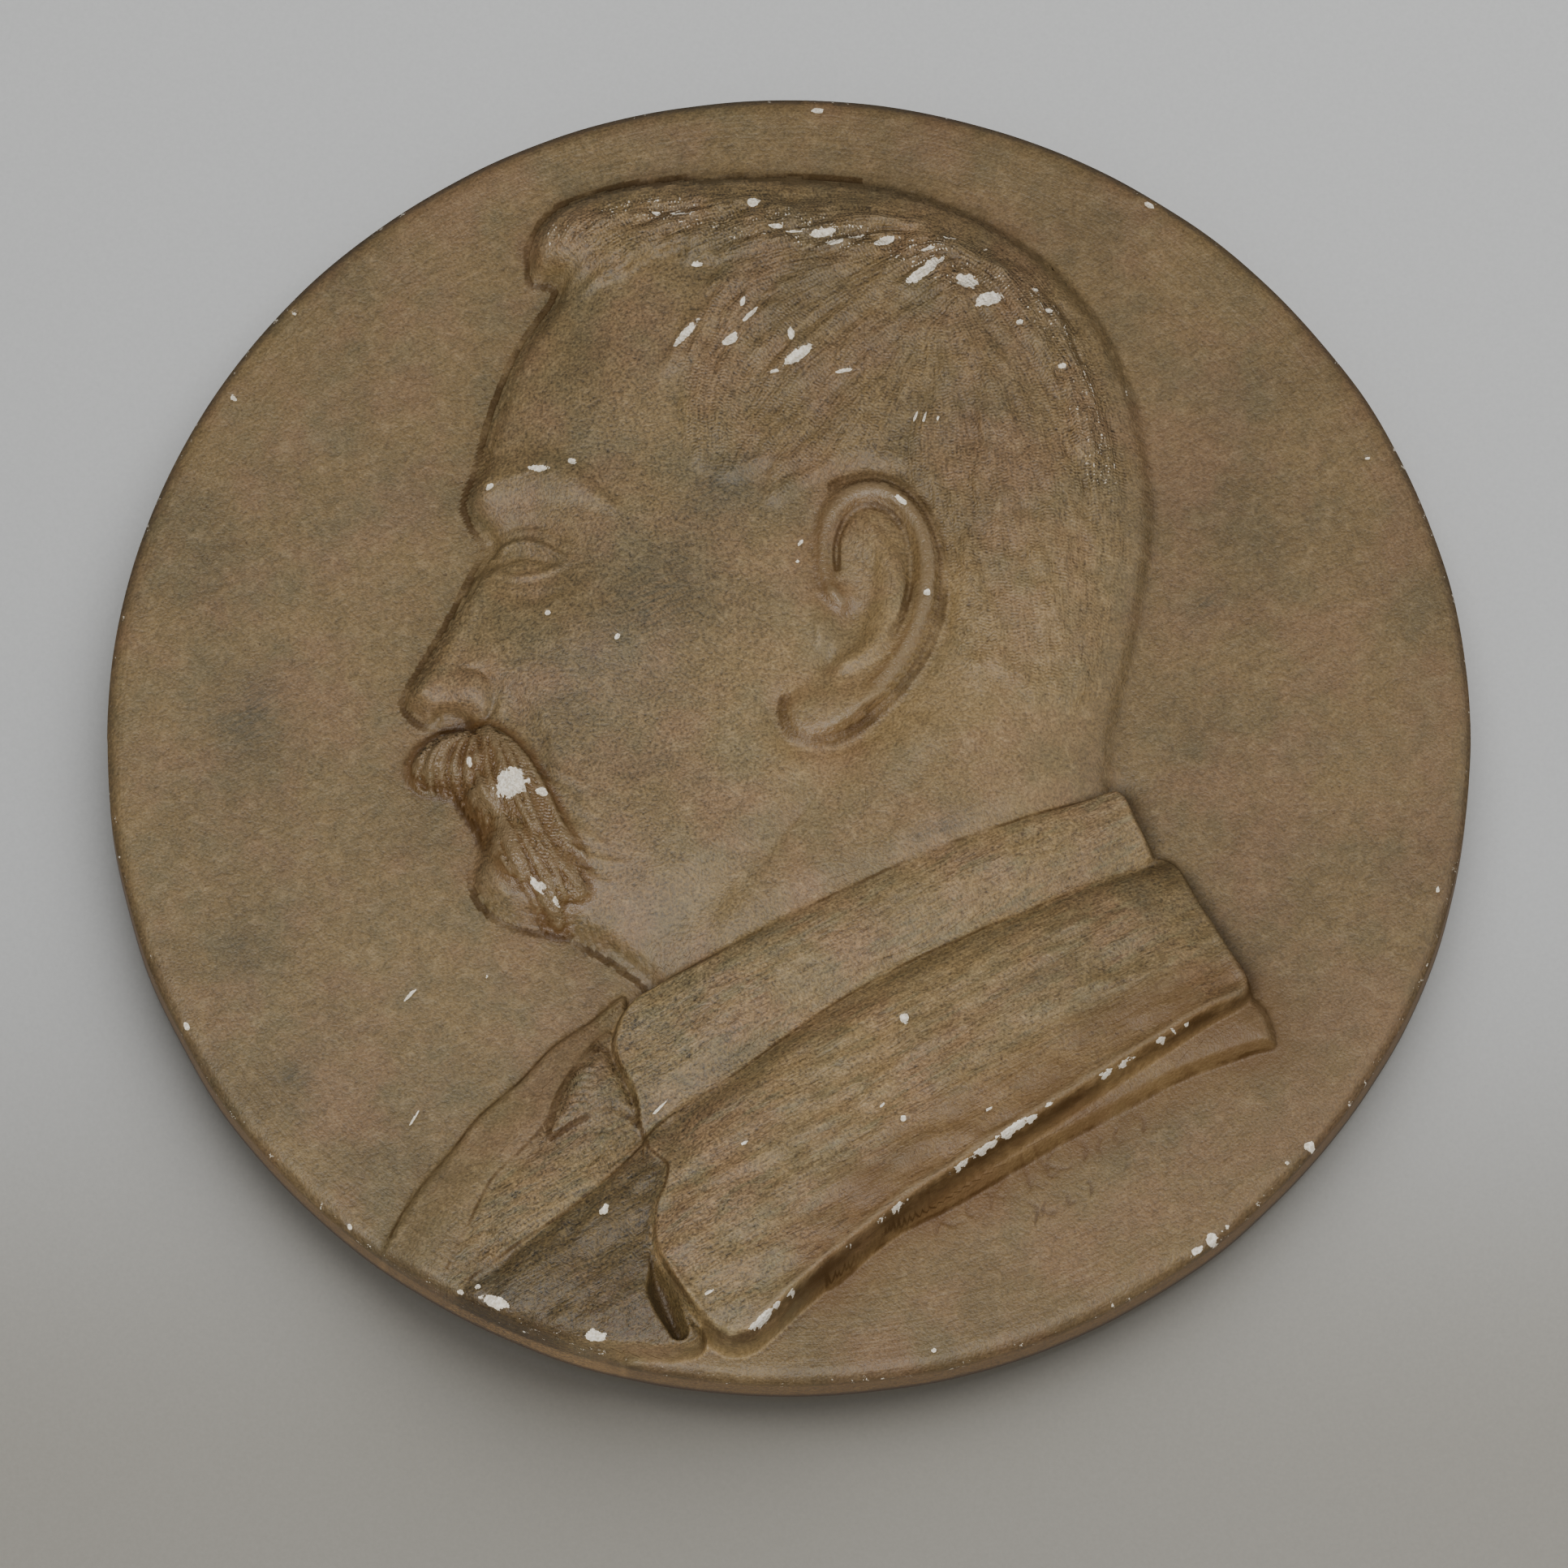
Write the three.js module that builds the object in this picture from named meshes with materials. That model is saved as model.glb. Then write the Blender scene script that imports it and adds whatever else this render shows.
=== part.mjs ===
// Plaster relief medallion: one cast round plaque with a bust in profile, hung flat on a wall.
// Millimetres, Z up. The front faces -Y and the flat back lies in the plane Y = 0,
// with the origin at the middle of the back.
import * as THREE from "three";

// Sizes that can each be changed alone
const DISC_DIAMETER = 360;
const DISC_THICKNESS = 14; // back to the plain ground around the bust
const RIM_ROUND = 3.5; // rounding of the front edge
const HEAD_HEIGHT = 200; // chin to the top of the skull
const BUST_DROP = 2.2; // middle of the bust's own frame below the disc's centre
const RELIEF_DEPTH = 19; // ground to the highest point of the bust

// Fineness of the facets
const HALVINGS = 8; // of the front's grid, so that it has 2 to this power steps across
const RIM_SEGMENTS = 128; // facets around the rim at least
const TOLERANCE = 0.37; // error of the carved surface on a triangle of TOLERANCE_STEPS
const TOLERANCE_STEPS = 8; // smaller triangles may be off by more, as on a steep edge
const CURVE_STEPS = 5; // straight steps between two points of a curve
const GRID = 2 ** HALVINGS;

// The bust is carved in a frame and units of its own: 200 to the head's height, X to the right
// and Z up, with the heights of its layers above the ground.
const UNIT = HEAD_HEIGHT / 200;
const CARVED_DEPTH = 19;
const DEPTH_UNIT = RELIEF_DEPTH / CARVED_DEPTH;

const GLAZED_PLASTER = { color: 0x7d6a4d, roughness: 0.55, metalness: 0 };

const clamp = (t) => Math.min(Math.max(t, 0), 1);
const smooth = (t) => clamp(t) ** 2 * (3 - 2 * clamp(t));
const rounded = (t) => Math.sqrt(1 - (1 - clamp(t)) ** 2);
const swell = (t) => Math.sin((clamp(t) * Math.PI) / 2);

// A smooth line through a few points, open or closed.
function line(points, closed = false) {
  const places = points.map(([x, z]) => new THREE.Vector3(x, z, 0));
  const curve = new THREE.CatmullRomCurve3(places, closed, "catmullrom", 0.5);
  const spans = closed ? points.length : points.length - 1;
  const path = curve.getPoints(spans * CURVE_STEPS);
  return { path, box: new THREE.Box3().setFromPoints(path) };
}

const outline = (points) => line(points, true);

// The shortest way from a place to a line: its length, where along the line it ends as a share,
// on which side of the line the place is, and whether a closed line goes around it.
function nearest({ path }, x, z) {
  let best = Infinity;
  let share = 0;
  let side = 1;
  let inside = false;
  for (let i = 1; i < path.length; i += 1) {
    const a = path[i - 1];
    const b = path[i];
    const dx = b.x - a.x;
    const dz = b.y - a.y;
    const t = clamp(((x - a.x) * dx + (z - a.y) * dz) / (dx * dx + dz * dz || 1));
    const distance = Math.hypot(x - a.x - t * dx, z - a.y - t * dz);
    if (distance < best) {
      best = distance;
      share = (i - 1 + t) / (path.length - 1);
      side = dx * (z - a.y) - dz * (x - a.x);
    }
    if (a.y > z !== b.y > z && x < (dx * (z - a.y)) / dz + a.x) {
      inside = !inside;
    }
  }
  return { distance: best, share, side, inside };
}

const isFar = ({ box }, x, z, reach) =>
  x < box.min.x - reach || x > box.max.x + reach || z < box.min.y - reach || z > box.max.y + reach;

// How far inside an outline a place is, below zero outside it.
function edgeOf(shape, x, z) {
  if (isFar(shape, x, z, 0)) {
    return -1;
  }
  const { distance, inside } = nearest(shape, x, z);
  return inside ? distance : -distance;
}

// Depth inside an outline without the creases that the distance has: beside the outline both
// are the same. It comes from the sum of 1 / distance^4 along the outline.
function depthIn({ path }, x, z) {
  let total = 0;
  for (let i = 1; i < path.length; i += 1) {
    const a = path[i - 1];
    const b = path[i];
    const length = Math.hypot(b.x - a.x, b.y - a.y);
    const ux = (b.x - a.x) / length;
    const uz = (b.y - a.y) / length;
    const from = (a.x - x) * ux + (a.y - z) * uz;
    const to = from + length;
    const off = Math.max(Math.abs((z - a.y) * ux - (x - a.x) * uz), 0.2);
    const near = to / (off * off + to * to) - from / (off * off + from * from);
    total += near / (2 * off * off);
    total += (Math.atan(to / off) - Math.atan(from / off)) / (2 * off ** 3);
  }
  return Math.cbrt(Math.PI / 2 / total);
}

// Lays a surface over what is there, rising from its outline within the width of its edge.
const lay = (ground, surface, depth, edge) =>
  depth > 0 ? ground + (surface - ground) * rounded(depth / edge) : ground;

// A rounded ridge along a line, or a groove where the height is below zero. Its ends taper
// to the given shares of its width.
function ridge({ shape, width, height, ends = [0.5, 0.5] }, x, z) {
  if (isFar(shape, x, z, width)) {
    return 0;
  }
  const { distance, share } = nearest(shape, x, z);
  const start = ends[0] + (1 - ends[0]) * smooth(share * 2.2);
  const end = ends[1] + (1 - ends[1]) * smooth((1 - share) * 2.2);
  const taper = start * end;
  const t = clamp(1 - (distance / (width * taper)) ** 2);
  return height * t ** 1.5 * Math.min(1, taper + 0.25);
}

// A rounded swelling, or a hollow where the height is below zero.
function bump({ at, radii, height, tilt = 0 }, x, z) {
  const angle = THREE.MathUtils.degToRad(tilt);
  const dx = x - at[0];
  const dz = z - at[1];
  const u = (dx * Math.cos(angle) + dz * Math.sin(angle)) / radii[0];
  const v = (dz * Math.cos(angle) - dx * Math.sin(angle)) / radii[1];
  return height * Math.exp(-u * u - v * v);
}

const addUp = (features, add, x, z) => features.reduce((sum, feature) => sum + add(feature, x, z), 0);

// Head and neck in profile, with the hair's upper edge
const HEAD = outline([
  [-62, 126], [-72, 110], [-79, 92], [-83, 76], [-86, 67], [-84, 60], [-80.5, 54], [-84, 46],
  [-90, 34], [-96, 23], [-101, 14], [-101.5, 9], [-97, 4.5], [-91, 3], [-85.5, 2.5], [-86, -3],
  [-88.5, -8.5], [-86, -12.5], [-87, -17], [-85.5, -21], [-81.5, -26], [-83, -33], [-83.5, -40],
  [-80, -47], [-72, -52], [-60, -55], [-46, -62], [-34, -74], [-30, -95], [70, -60], [87, -30],
  [86.5, -12], [88, 4], [91.5, 20], [95.5, 40], [98, 60], [96.5, 79], [91.5, 101], [82, 121],
  [68, 137], [49, 149], [28, 156.5], [2, 159.5], [-26, 159], [-45, 156.5], [-58, 152.5],
  [-66, 146], [-69.5, 137], [-68.5, 129],
]);
const HEAD_EDGE = 5.5;
const HEAD_DOME = 40; // depth over which the head rounds up
const HEAD_RISE = 5.4; // at the edge
const HEAD_SWELL = 8.6; // from there to the cheek
const HEAD_BACK = 2.6; // less at the back of the head's edge

const FACE_SWELLINGS = [
  { at: [-69, 50], radii: [11, 9], height: -3.6, tilt: -10 }, // eye socket
  { at: [-78, 52], radii: [6, 6], height: -1.6 }, // root of the nose
  { at: [-70.5, 48.5], radii: [7, 6], height: 2.6 }, // eyeball
  { at: [-50, 27], radii: [20, 12], height: 1.5, tilt: 15 }, // cheekbone
  { at: [-44, 76], radii: [12, 12], height: -1 }, // temple
  { at: [-66, 96], radii: [16, 14], height: 0.8 }, // forehead
  { at: [-46, -4], radii: [18, 16], height: -1 }, // hollow of the cheek
  { at: [-96.5, 11], radii: [5.5, 5.5], height: 1.4 }, // tip of the nose
  { at: [-84.5, 10.5], radii: [6, 5.2], height: 2.8, tilt: -20 }, // wing of the nose
  { at: [-82, -17.8], radii: [6, 3.4], height: 1.6, tilt: 8 }, // lower lip
  { at: [-79, -26], radii: [6, 3.5], height: -1.4, tilt: 10 }, // below the lip
  { at: [-77, -39], radii: [8, 8], height: 1.8 }, // chin
];

const FACE_LINES = [
  {
    shape: line([[-87, 63], [-80, 68.5], [-70, 71.5], [-58, 69], [-46, 61]]),
    width: 8, height: 2, ends: [0.7, 0.25],
  },
  {
    shape: line([[-78.5, 49.5], [-74, 53], [-67, 52.6], [-58, 47]]),
    width: 2.2, height: 1.5, ends: [0.6, 0.4],
  },
  { shape: line([[-77.5, 45], [-71, 43.2], [-64, 44], [-58, 46.5]]), width: 2, height: 0.9 },
  { shape: line([[-80, 52], [-86, 38], [-93, 24], [-98, 13]]), width: 8, height: 1.6, ends: [0.4, 0.8] },
  {
    shape: line([[-86, 18], [-80.5, 16.5], [-77.5, 11], [-79, 5]]),
    width: 2.4, height: -1.5, ends: [0.3, 0.5],
  },
  { shape: line([[-94.5, 4.2], [-91.5, 6.5], [-87, 6.2]]), width: 2.2, height: -2, ends: [0.6, 0.5] },
  { shape: line([[-76.5, 14], [-71, 6], [-66, -4], [-63, -14]]), width: 4.5, height: -1.2, ends: [0.3, 0.3] },
];

// The neck falls back behind the jaw, and its muscle runs from behind the ear to the collar
const JAW = line([[-84, -56], [-66, -57], [-48, -50], [-30, -38], [-12, -24], [2, -6], [8, 14], [10, 40]]);
const JAW_DROP = 2.6;
const JAW_REACH = 40;
const NECK_MUSCLE = { shape: line([[36, -2], [20, -16], [2, -34], [-14, -54]]), width: 14, height: 1.3 };

// Hair: below its lower edge lie forehead, temple, ear and nape
const HAIR = outline([
  [-68, 127], [-75, 140], [-60, 165], [0, 175], [60, 160], [100, 120], [110, 60], [100, 10],
  [84, 8], [72, 4], [60, 8], [49, 15], [43, 30], [36, 56], [24, 71], [8, 67], [-3, 63],
  [-10, 68], [-20, 73], [-29, 84], [-33, 100], [-30, 114], [-21, 127], [-32, 132], [-48, 129],
  [-60, 124],
]);

// Broad tufts of the brushed hair
const TUFTS = [
  [[-62, 134], [-54, 144], [-38, 150], [-18, 152]],
  [[-46, 136], [-30, 142], [-10, 145], [12, 146]],
  [[-18, 136], [0, 139], [24, 141], [42, 136]],
  [[4, 150], [26, 149], [46, 142], [60, 132]],
  [[-26, 108], [-14, 122], [2, 130], [20, 133]],
  [[-27, 90], [-16, 104], [-2, 114], [16, 121]],
  [[-14, 78], [-4, 92], [10, 104], [26, 112]],
  [[4, 76], [14, 88], [26, 98], [36, 104]],
  [[58, 124], [72, 112], [80, 96], [84, 80]],
  [[48, 116], [60, 102], [68, 84], [70, 66]],
  [[44, 98], [52, 82], [56, 62], [56, 42]],
  [[84, 70], [85, 52], [82, 34], [76, 18]],
  [[70, 58], [70, 42], [68, 28], [64, 14]],
].map((points) => ({ shape: line(points), width: 6, height: 1.1, ends: [0.3, 0.3] }));

const EAR = outline([
  [3, 57], [7.5, 63.5], [14, 68], [22.8, 69.5], [30, 66.5], [36, 60], [39.5, 51.5], [40.6, 41.4],
  [39.5, 31], [36, 21.5], [30, 12], [23, 4.5], [15, -1.5], [6.7, -3.8], [1, -2], [-1.2, 3.9],
  [0.5, 10], [4, 16], [6, 24], [5, 34], [3, 45],
]);
const EAR_RISE = 13.2; // at its front edge
const EAR_FLARE = 2.8; // more towards its back edge
const LOBE_RISE = 1.4; // more at the lobe

const EAR_SWELLINGS = [
  { at: [20, 40], radii: [12, 19], height: -1.2, tilt: -8 }, // inside of the rim
  { at: [16.8, 29], radii: [6.2, 9], height: -2.6, tilt: -14 }, // bowl
  { at: [7.8, 27.5], radii: [3.6, 5.6], height: 1.7, tilt: 8 }, // flap in front of the bowl
  { at: [10.8, 18], radii: [2.6, 3.4], height: -1.5, tilt: -20 }, // notch under the flap
  { at: [9.5, 5], radii: [10, 6.5], height: 0.8, tilt: 25 }, // lobe
];

const EAR_LINES = [
  {
    shape: line([
      [14, 34], [10.2, 40], [8.8, 48], [10, 56.5], [14.5, 63], [21.5, 65.7], [29, 63], [34.6, 56],
      [36.8, 46], [36.2, 36], [33, 26], [27.5, 16.5], [21, 9],
    ]),
    width: 4.6, height: 1.7, ends: [0.4, 0.3],
  },
  {
    shape: line([
      [12.8, 44], [13, 52], [16, 58.6], [21.3, 61.2], [27, 58.8], [31, 52], [32.2, 43], [30.8, 33],
      [26.8, 23.5],
    ]),
    width: 3.2, height: -1.4, ends: [0.4, 0.2],
  },
  {
    shape: line([[21, 55.5], [25.6, 48], [27, 39], [25.4, 29.5], [21, 21], [14.5, 16.8]]),
    width: 5.4, height: 2, ends: [0.35, 0.6],
  },
];

const MOUSTACHE = outline([
  [-86, 3], [-93, 1], [-98.5, -3.5], [-100.5, -9.5], [-98, -15], [-93, -17.5], [-89, -20.5],
  [-86, -27], [-82, -35], [-78.5, -41.5], [-74, -45.5], [-66.5, -49], [-62, -53.5], [-58, -53],
  [-54, -48.5], [-51.5, -43], [-54, -36], [-57.5, -28], [-62, -18], [-67, -9], [-73, -1.5],
  [-79, 2.5],
]);
const MOUSTACHE_RISE = 9; // over the bare ground
const MOUSTACHE_FULLNESS = 3.8; // over the face

// Shirt front, tie, lapel, collars and the coat's cut edge
const SHIRT = outline([
  [-43, -71], [-52, -78], [-62, -85], [-71, -95], [-81, -104], [-88.5, -114], [-95, -122],
  [-101, -131], [-106, -141], [-112, -154], [-124, -190], [-60, -200], [-30, -130], [-36, -100],
  [-42, -84],
]);
const TIE = outline([
  [-47, -82], [-55, -90], [-60.5, -99], [-63.5, -107], [-70, -115], [-77, -122], [-81, -129],
  [-84, -136], [-88, -144], [-92, -155], [-104, -190], [-60, -190], [-38, -115], [-38, -104],
  [-42, -92],
]);
const KNOT = outline([
  [-50.7, -87.5], [-45.5, -90], [-41.9, -98], [-36.5, -110], [-43.5, -105.2], [-50, -105.2],
  [-56, -108], [-62.7, -111.5], [-59.5, -99],
]);
const LAPEL = outline([
  [-30, -106], [-36, -111.7], [-46, -122], [-58, -132.5], [-68, -139.7], [-78.5, -147.5],
  [-90, -157], [-106, -182], [-90, -190], [-79, -166.5], [-60, -169], [-39, -171],
  [-28, -171.5], [-22, -168], [-24, -156], [-27, -146], [-27, -135], [-26, -120],
]);
const COLLAR = outline([
  [-44, -78], [-37, -70.5], [-20, -62.5], [-2.5, -53.5], [17, -44], [38, -34], [60, -25.5],
  [77, -19], [87, -15.5], [92, -24], [97, -36], [94, -41], [71, -51], [50, -60.5], [28.5, -71],
  [7, -84], [-14, -100], [-35, -115], [-41, -100], [-46, -88],
]);
const COLLAR_TOP = line([[-37, -70.5], [-2.5, -53.5], [38, -34], [87, -15.5]]);
const COAT = outline([
  [-37, -112], [-15, -96.5], [6, -80.5], [27.5, -67], [49, -56.5], [70, -47], [90, -38],
  [100, -34], [108, -47], [115, -59], [121, -72], [109, -80.5], [92, -92], [70, -107], [49, -121],
  [27.5, -136], [6, -154], [-6, -165.5], [-11, -169], [-17, -169], [-24, -162], [-30, -153],
  [-34.5, -144], [-34.5, -134], [-31.5, -122],
]);
const COAT_TOP = line([
  [-37, -112], [-15, -96.5], [6, -80.5], [27.5, -67], [49, -56.5], [70, -47], [100, -34],
]);
const COAT_RIGHT = line([[100, -34], [108, -47], [115, -59], [121, -71]]);
const COAT_LEFT = line([[-31, -112], [-33.9, -130], [-36, -142], [-30, -158], [-22, -168]]);
const COAT_GAP = {
  shape: line([[-35.5, -148], [-33.5, -155], [-30.5, -163], [-27, -171]]), width: 4.4, height: -7,
  ends: [0.2, 0.8],
};
const COAT_BACK = outline([
  [121, -71], [128, -84], [121, -87], [103, -94], [87, -103], [66, -115], [45, -128], [27, -138],
  [10, -152], [20, -130], [60, -100], [100, -76],
]);

// Height of the face and neck over a plain head, faded out towards the head's edge.
function carveFace(x, z, edge) {
  let h = addUp(FACE_SWELLINGS, bump, x, z) + addUp(FACE_LINES, ridge, x, z) + ridge(NECK_MUSCLE, x, z);
  const { distance, share, side } = nearest(JAW, x, z);
  if (side < 0 && distance < JAW_REACH) {
    const along = smooth(share * 5) * smooth((1 - share) * 3);
    const across = smooth(distance / 14) * smooth((JAW_REACH - distance) / 26);
    h -= JAW_DROP * along * across;
  }
  return h * smooth(edge / 2.5);
}

// Height of the hair over the skull: thick at the front of the crown, thin at the nape.
function carveHair(x, z, headEdge) {
  const edge = edgeOf(HAIR, x, z);
  if (edge < 0) {
    return 0;
  }
  const crown = 2.4 * smooth((z - 118) / 24) * smooth((30 - x) / 50);
  const nape = smooth((30 - z) / 30);
  const mass = (1.2 + crown - 0.9 * nape) * rounded(edge / (3 + 6 * nape)) * smooth(headEdge / 4);
  return mass + addUp(TUFTS, ridge, x, z) * smooth(edge / 5) * smooth(headEdge / 9);
}

// Height of the bust above the ground, 0 beside it.
function carveBust(x, z) {
  let h = 0;
  const back = edgeOf(COAT_BACK, x, z);
  h = lay(h, 4.2 + 1.6 * swell(back / 9), back, 3);
  const shirt = edgeOf(SHIRT, x, z);
  h = lay(h, 2.6 + 2.6 * smooth(shirt / 14), shirt, 1.8);

  const head = edgeOf(HEAD, x, z);
  if (head > 0) {
    const behind = HEAD_BACK * smooth((x - 45) / 30) * (1 - smooth(head / 26));
    h = lay(h, HEAD_RISE - behind + HEAD_SWELL * swell(depthIn(HEAD, x, z) / HEAD_DOME), head, HEAD_EDGE);
    h += carveFace(x, z, head) + carveHair(x, z, head);
  }

  const ear = edgeOf(EAR, x, z);
  if (ear > 0) {
    h = lay(h, EAR_RISE + EAR_FLARE * smooth((x - 2) / 26) + LOBE_RISE * smooth((13 - z) / 9), ear, 3.2);
    h += (addUp(EAR_SWELLINGS, bump, x, z) + addUp(EAR_LINES, ridge, x, z)) * smooth(ear / 2);
  }

  const moustache = edgeOf(MOUSTACHE, x, z);
  if (moustache > 0) {
    h += MOUSTACHE_FULLNESS * rounded(moustache / 7.5) * (0.45 + 0.55 * smooth((z + 54) / 20));
    h = Math.max(h, MOUSTACHE_RISE * rounded(moustache / 6));
  }

  const tie = edgeOf(TIE, x, z);
  h = lay(h, 5 + 1.6 * smooth(tie / 12), tie, 1.6) + 1.5 * swell(edgeOf(KNOT, x, z) / 4);
  const lapel = edgeOf(LAPEL, x, z);
  h = lay(h, 5.6 + 2.8 * swell(lapel / 10) + 2.6 * smooth((x + 95) / 50), lapel, 1.6);

  const collar = edgeOf(COLLAR, x, z);
  const coatLine = collar > 0 || edgeOf(COAT, x, z) > 0 ? nearest(COAT_TOP, x, z).distance : 0;
  if (collar > 0) {
    const roll = 2 * swell(nearest(COLLAR_TOP, x, z).distance / 9) - 3.2 * Math.exp(-((coatLine / 7) ** 2));
    const ends = 3.6 * smooth((x - 45) / 55) + 4.4 * smooth((-12 - x) / 28);
    h = lay(h, 11.8 + roll - ends, collar, 1.8);
  }
  const coat = edgeOf(COAT, x, z);
  if (coat > 0) {
    const fall = 3.6 * swell(coatLine / 11) + 4.8 * swell(coatLine / 48);
    const right = 4.2 * Math.exp(-((nearest(COAT_RIGHT, x, z).distance / 10) ** 1.5));
    const left = 4 * Math.exp(-nearest(COAT_LEFT, x, z).distance / 12) * smooth((x + 60) / 30);
    h = lay(h, 10.6 + fall - 3.6 * smooth((x - 45) / 75) - right - left, coat, 2.4);
  }
  h += ridge(COAT_GAP, x, z);
  return h;
}

// Thickness of the plaque at a place of its front.
function thicknessAt(x, z) {
  const edge = DISC_DIAMETER / 2 - Math.hypot(x, z);
  const bust = DEPTH_UNIT * carveBust(x / UNIT, (z + BUST_DROP) / UNIT);
  return DISC_THICKNESS + bust - RIM_ROUND * 0.6 * (1 - rounded(edge / RIM_ROUND));
}

// The front starts as a square grid of GRID steps, its rings of squares bent into circles.
function placeOf(column, row) {
  const u = (2 * column) / GRID - 1;
  const v = (2 * row) / GRID - 1;
  const reach = Math.max(Math.abs(u), Math.abs(v));
  if (reach === 0) {
    return [0, 0];
  }
  const wide = Math.abs(u) > Math.abs(v);
  const turn = (Math.PI / 4) * (wide ? v / u : u / v);
  const along = (reach * DISC_DIAMETER * Math.cos(turn)) / 2;
  const across = (reach * DISC_DIAMETER * Math.sin(turn)) / 2;
  return wide ? [Math.sign(u) * along, Math.sign(u) * across] : [Math.sign(v) * across, Math.sign(v) * along];
}

// Heights averaged with their neighbours on the grid, so that steep edges don't step from row
// to row.
function soften(heights) {
  const side = GRID + 1;
  const within = (i) => Math.min(Math.max(i, 0), GRID);
  const pass = (values, step) =>
    values.map((value, i) => {
      const [column, row] = [i % side, Math.floor(i / side)];
      const before = values[within(row - step[1]) * side + within(column - step[0])];
      const after = values[within(row + step[1]) * side + within(column + step[0])];
      return (before + 2 * value + after) / 4;
    });
  return pass(pass(heights, [1, 0]), [0, 1]);
}

// Right triangles halve at the middle of their long side, from two over the whole square down
// to the grid's own, wherever the surface there would be off by too much for their length.
function coverFront(heights) {
  const side = GRID + 1;
  const errors = new Float64Array(side * side);
  const indexOf = (column, row) => row * side + column;
  const rimStep = (4 * GRID) / RIM_SEGMENTS;

  const corners = (id) => {
    let [ax, ay, bx, by, cx, cy] = id & 1 ? [0, 0, GRID, GRID, GRID, 0] : [GRID, GRID, 0, 0, 0, GRID];
    for (let rest = id >> 1; rest > 1; rest >>= 1) {
      const mx = (ax + bx) >> 1;
      const my = (ay + by) >> 1;
      [ax, ay, bx, by] = rest & 1 ? [cx, cy, ax, ay] : [bx, by, cx, cy];
      [cx, cy] = [mx, my];
    }
    return [ax, ay, bx, by, cx, cy];
  };

  const count = 2 * GRID * GRID;
  for (let id = 2 * count - 1; id >= 2; id -= 1) {
    const [ax, ay, bx, by, cx, cy] = corners(id);
    const mx = (ax + bx) / 2;
    const my = (ay + by) / 2;
    if (!Number.isInteger(mx) || !Number.isInteger(my)) {
      continue;
    }
    const middle = indexOf(mx, my);
    const length = Math.abs(ax - bx) + Math.abs(ay - by);
    const off = (heights[indexOf(ax, ay)] + heights[indexOf(bx, by)]) / 2 - heights[middle];
    let error = (Math.abs(off) * length) / TOLERANCE_STEPS;
    const onRim = mx % GRID === 0 || my % GRID === 0;
    if (onRim && length > rimStep) {
      error = Infinity;
    }
    for (const [ex, ey] of [[(ax + cx) / 2, (ay + cy) / 2], [(bx + cx) / 2, (by + cy) / 2]]) {
      if (Number.isInteger(ex) && Number.isInteger(ey)) {
        error = Math.max(error, errors[indexOf(ex, ey)]);
      }
    }
    errors[middle] = Math.max(errors[middle], error);
  }

  const triangles = [];
  const split = (ax, ay, bx, by, cx, cy) => {
    const mx = (ax + bx) / 2;
    const my = (ay + by) / 2;
    if (Number.isInteger(mx) && Number.isInteger(my) && errors[indexOf(mx, my)] > TOLERANCE) {
      split(cx, cy, ax, ay, mx, my);
      split(bx, by, cx, cy, mx, my);
    } else {
      triangles.push([indexOf(ax, ay), indexOf(bx, by), indexOf(cx, cy)]);
    }
  };
  split(GRID, GRID, 0, 0, GRID, 0);
  split(0, 0, GRID, GRID, 0, GRID);
  return triangles;
}

// One closed solid: the carved front, the side and the flat back.
function castPlaque() {
  const side = GRID + 1;
  const places = [];
  for (let row = 0; row < side; row += 1) {
    for (let column = 0; column < side; column += 1) {
      places.push(placeOf(column, row));
    }
  }
  const heights = soften(places.map(([x, z]) => thicknessAt(x, z)));
  const front = coverFront(heights);

  const positions = [];
  const vertexOf = new Map();
  const vertex = (key, x, y, z) => {
    if (!vertexOf.has(key)) {
      vertexOf.set(key, positions.length / 3);
      positions.push(x, y, z);
    }
    return vertexOf.get(key);
  };
  const onFront = (i) => vertex(`front ${i}`, places[i][0], -heights[i], places[i][1]);
  const onBack = (i) => vertex(`back ${i}`, places[i][0], 0, places[i][1]);
  const middle = vertex("middle", 0, 0, 0);

  // A side of a triangle that no other triangle runs the other way is on the rim
  const index = [];
  const sides = new Map();
  for (const [a, b, c] of front) {
    index.push(onFront(a), onFront(b), onFront(c));
    for (const [from, to] of [[a, b], [b, c], [c, a]]) {
      sides.set(`${from} ${to}`, [from, to]);
    }
  }
  for (const [from, to] of sides.values()) {
    if (!sides.has(`${to} ${from}`)) {
      index.push(onFront(to), onFront(from), onBack(from));
      index.push(onFront(to), onBack(from), onBack(to));
      index.push(onBack(to), onBack(from), middle);
    }
  }

  const geometry = new THREE.BufferGeometry();
  geometry.setAttribute("position", new THREE.Float32BufferAttribute(positions, 3));
  geometry.setIndex(index);
  geometry.computeVertexNormals();
  return geometry;
}

const medallion = new THREE.Mesh(castPlaque(), new THREE.MeshStandardMaterial(GLAZED_PLASTER));
medallion.name = "medallion";

const part = new THREE.Group();
part.name = "plaster_relief_medallion";
part.add(medallion);

export default part;
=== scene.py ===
"""Plaster relief medallion: the finely carved, glazed and chipped casting, and its stage.

The carving is worked out in millimetres, X to the right and Z up from the disc's centre, as a
height over the flat back. The mesh is in metres.
"""

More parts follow.
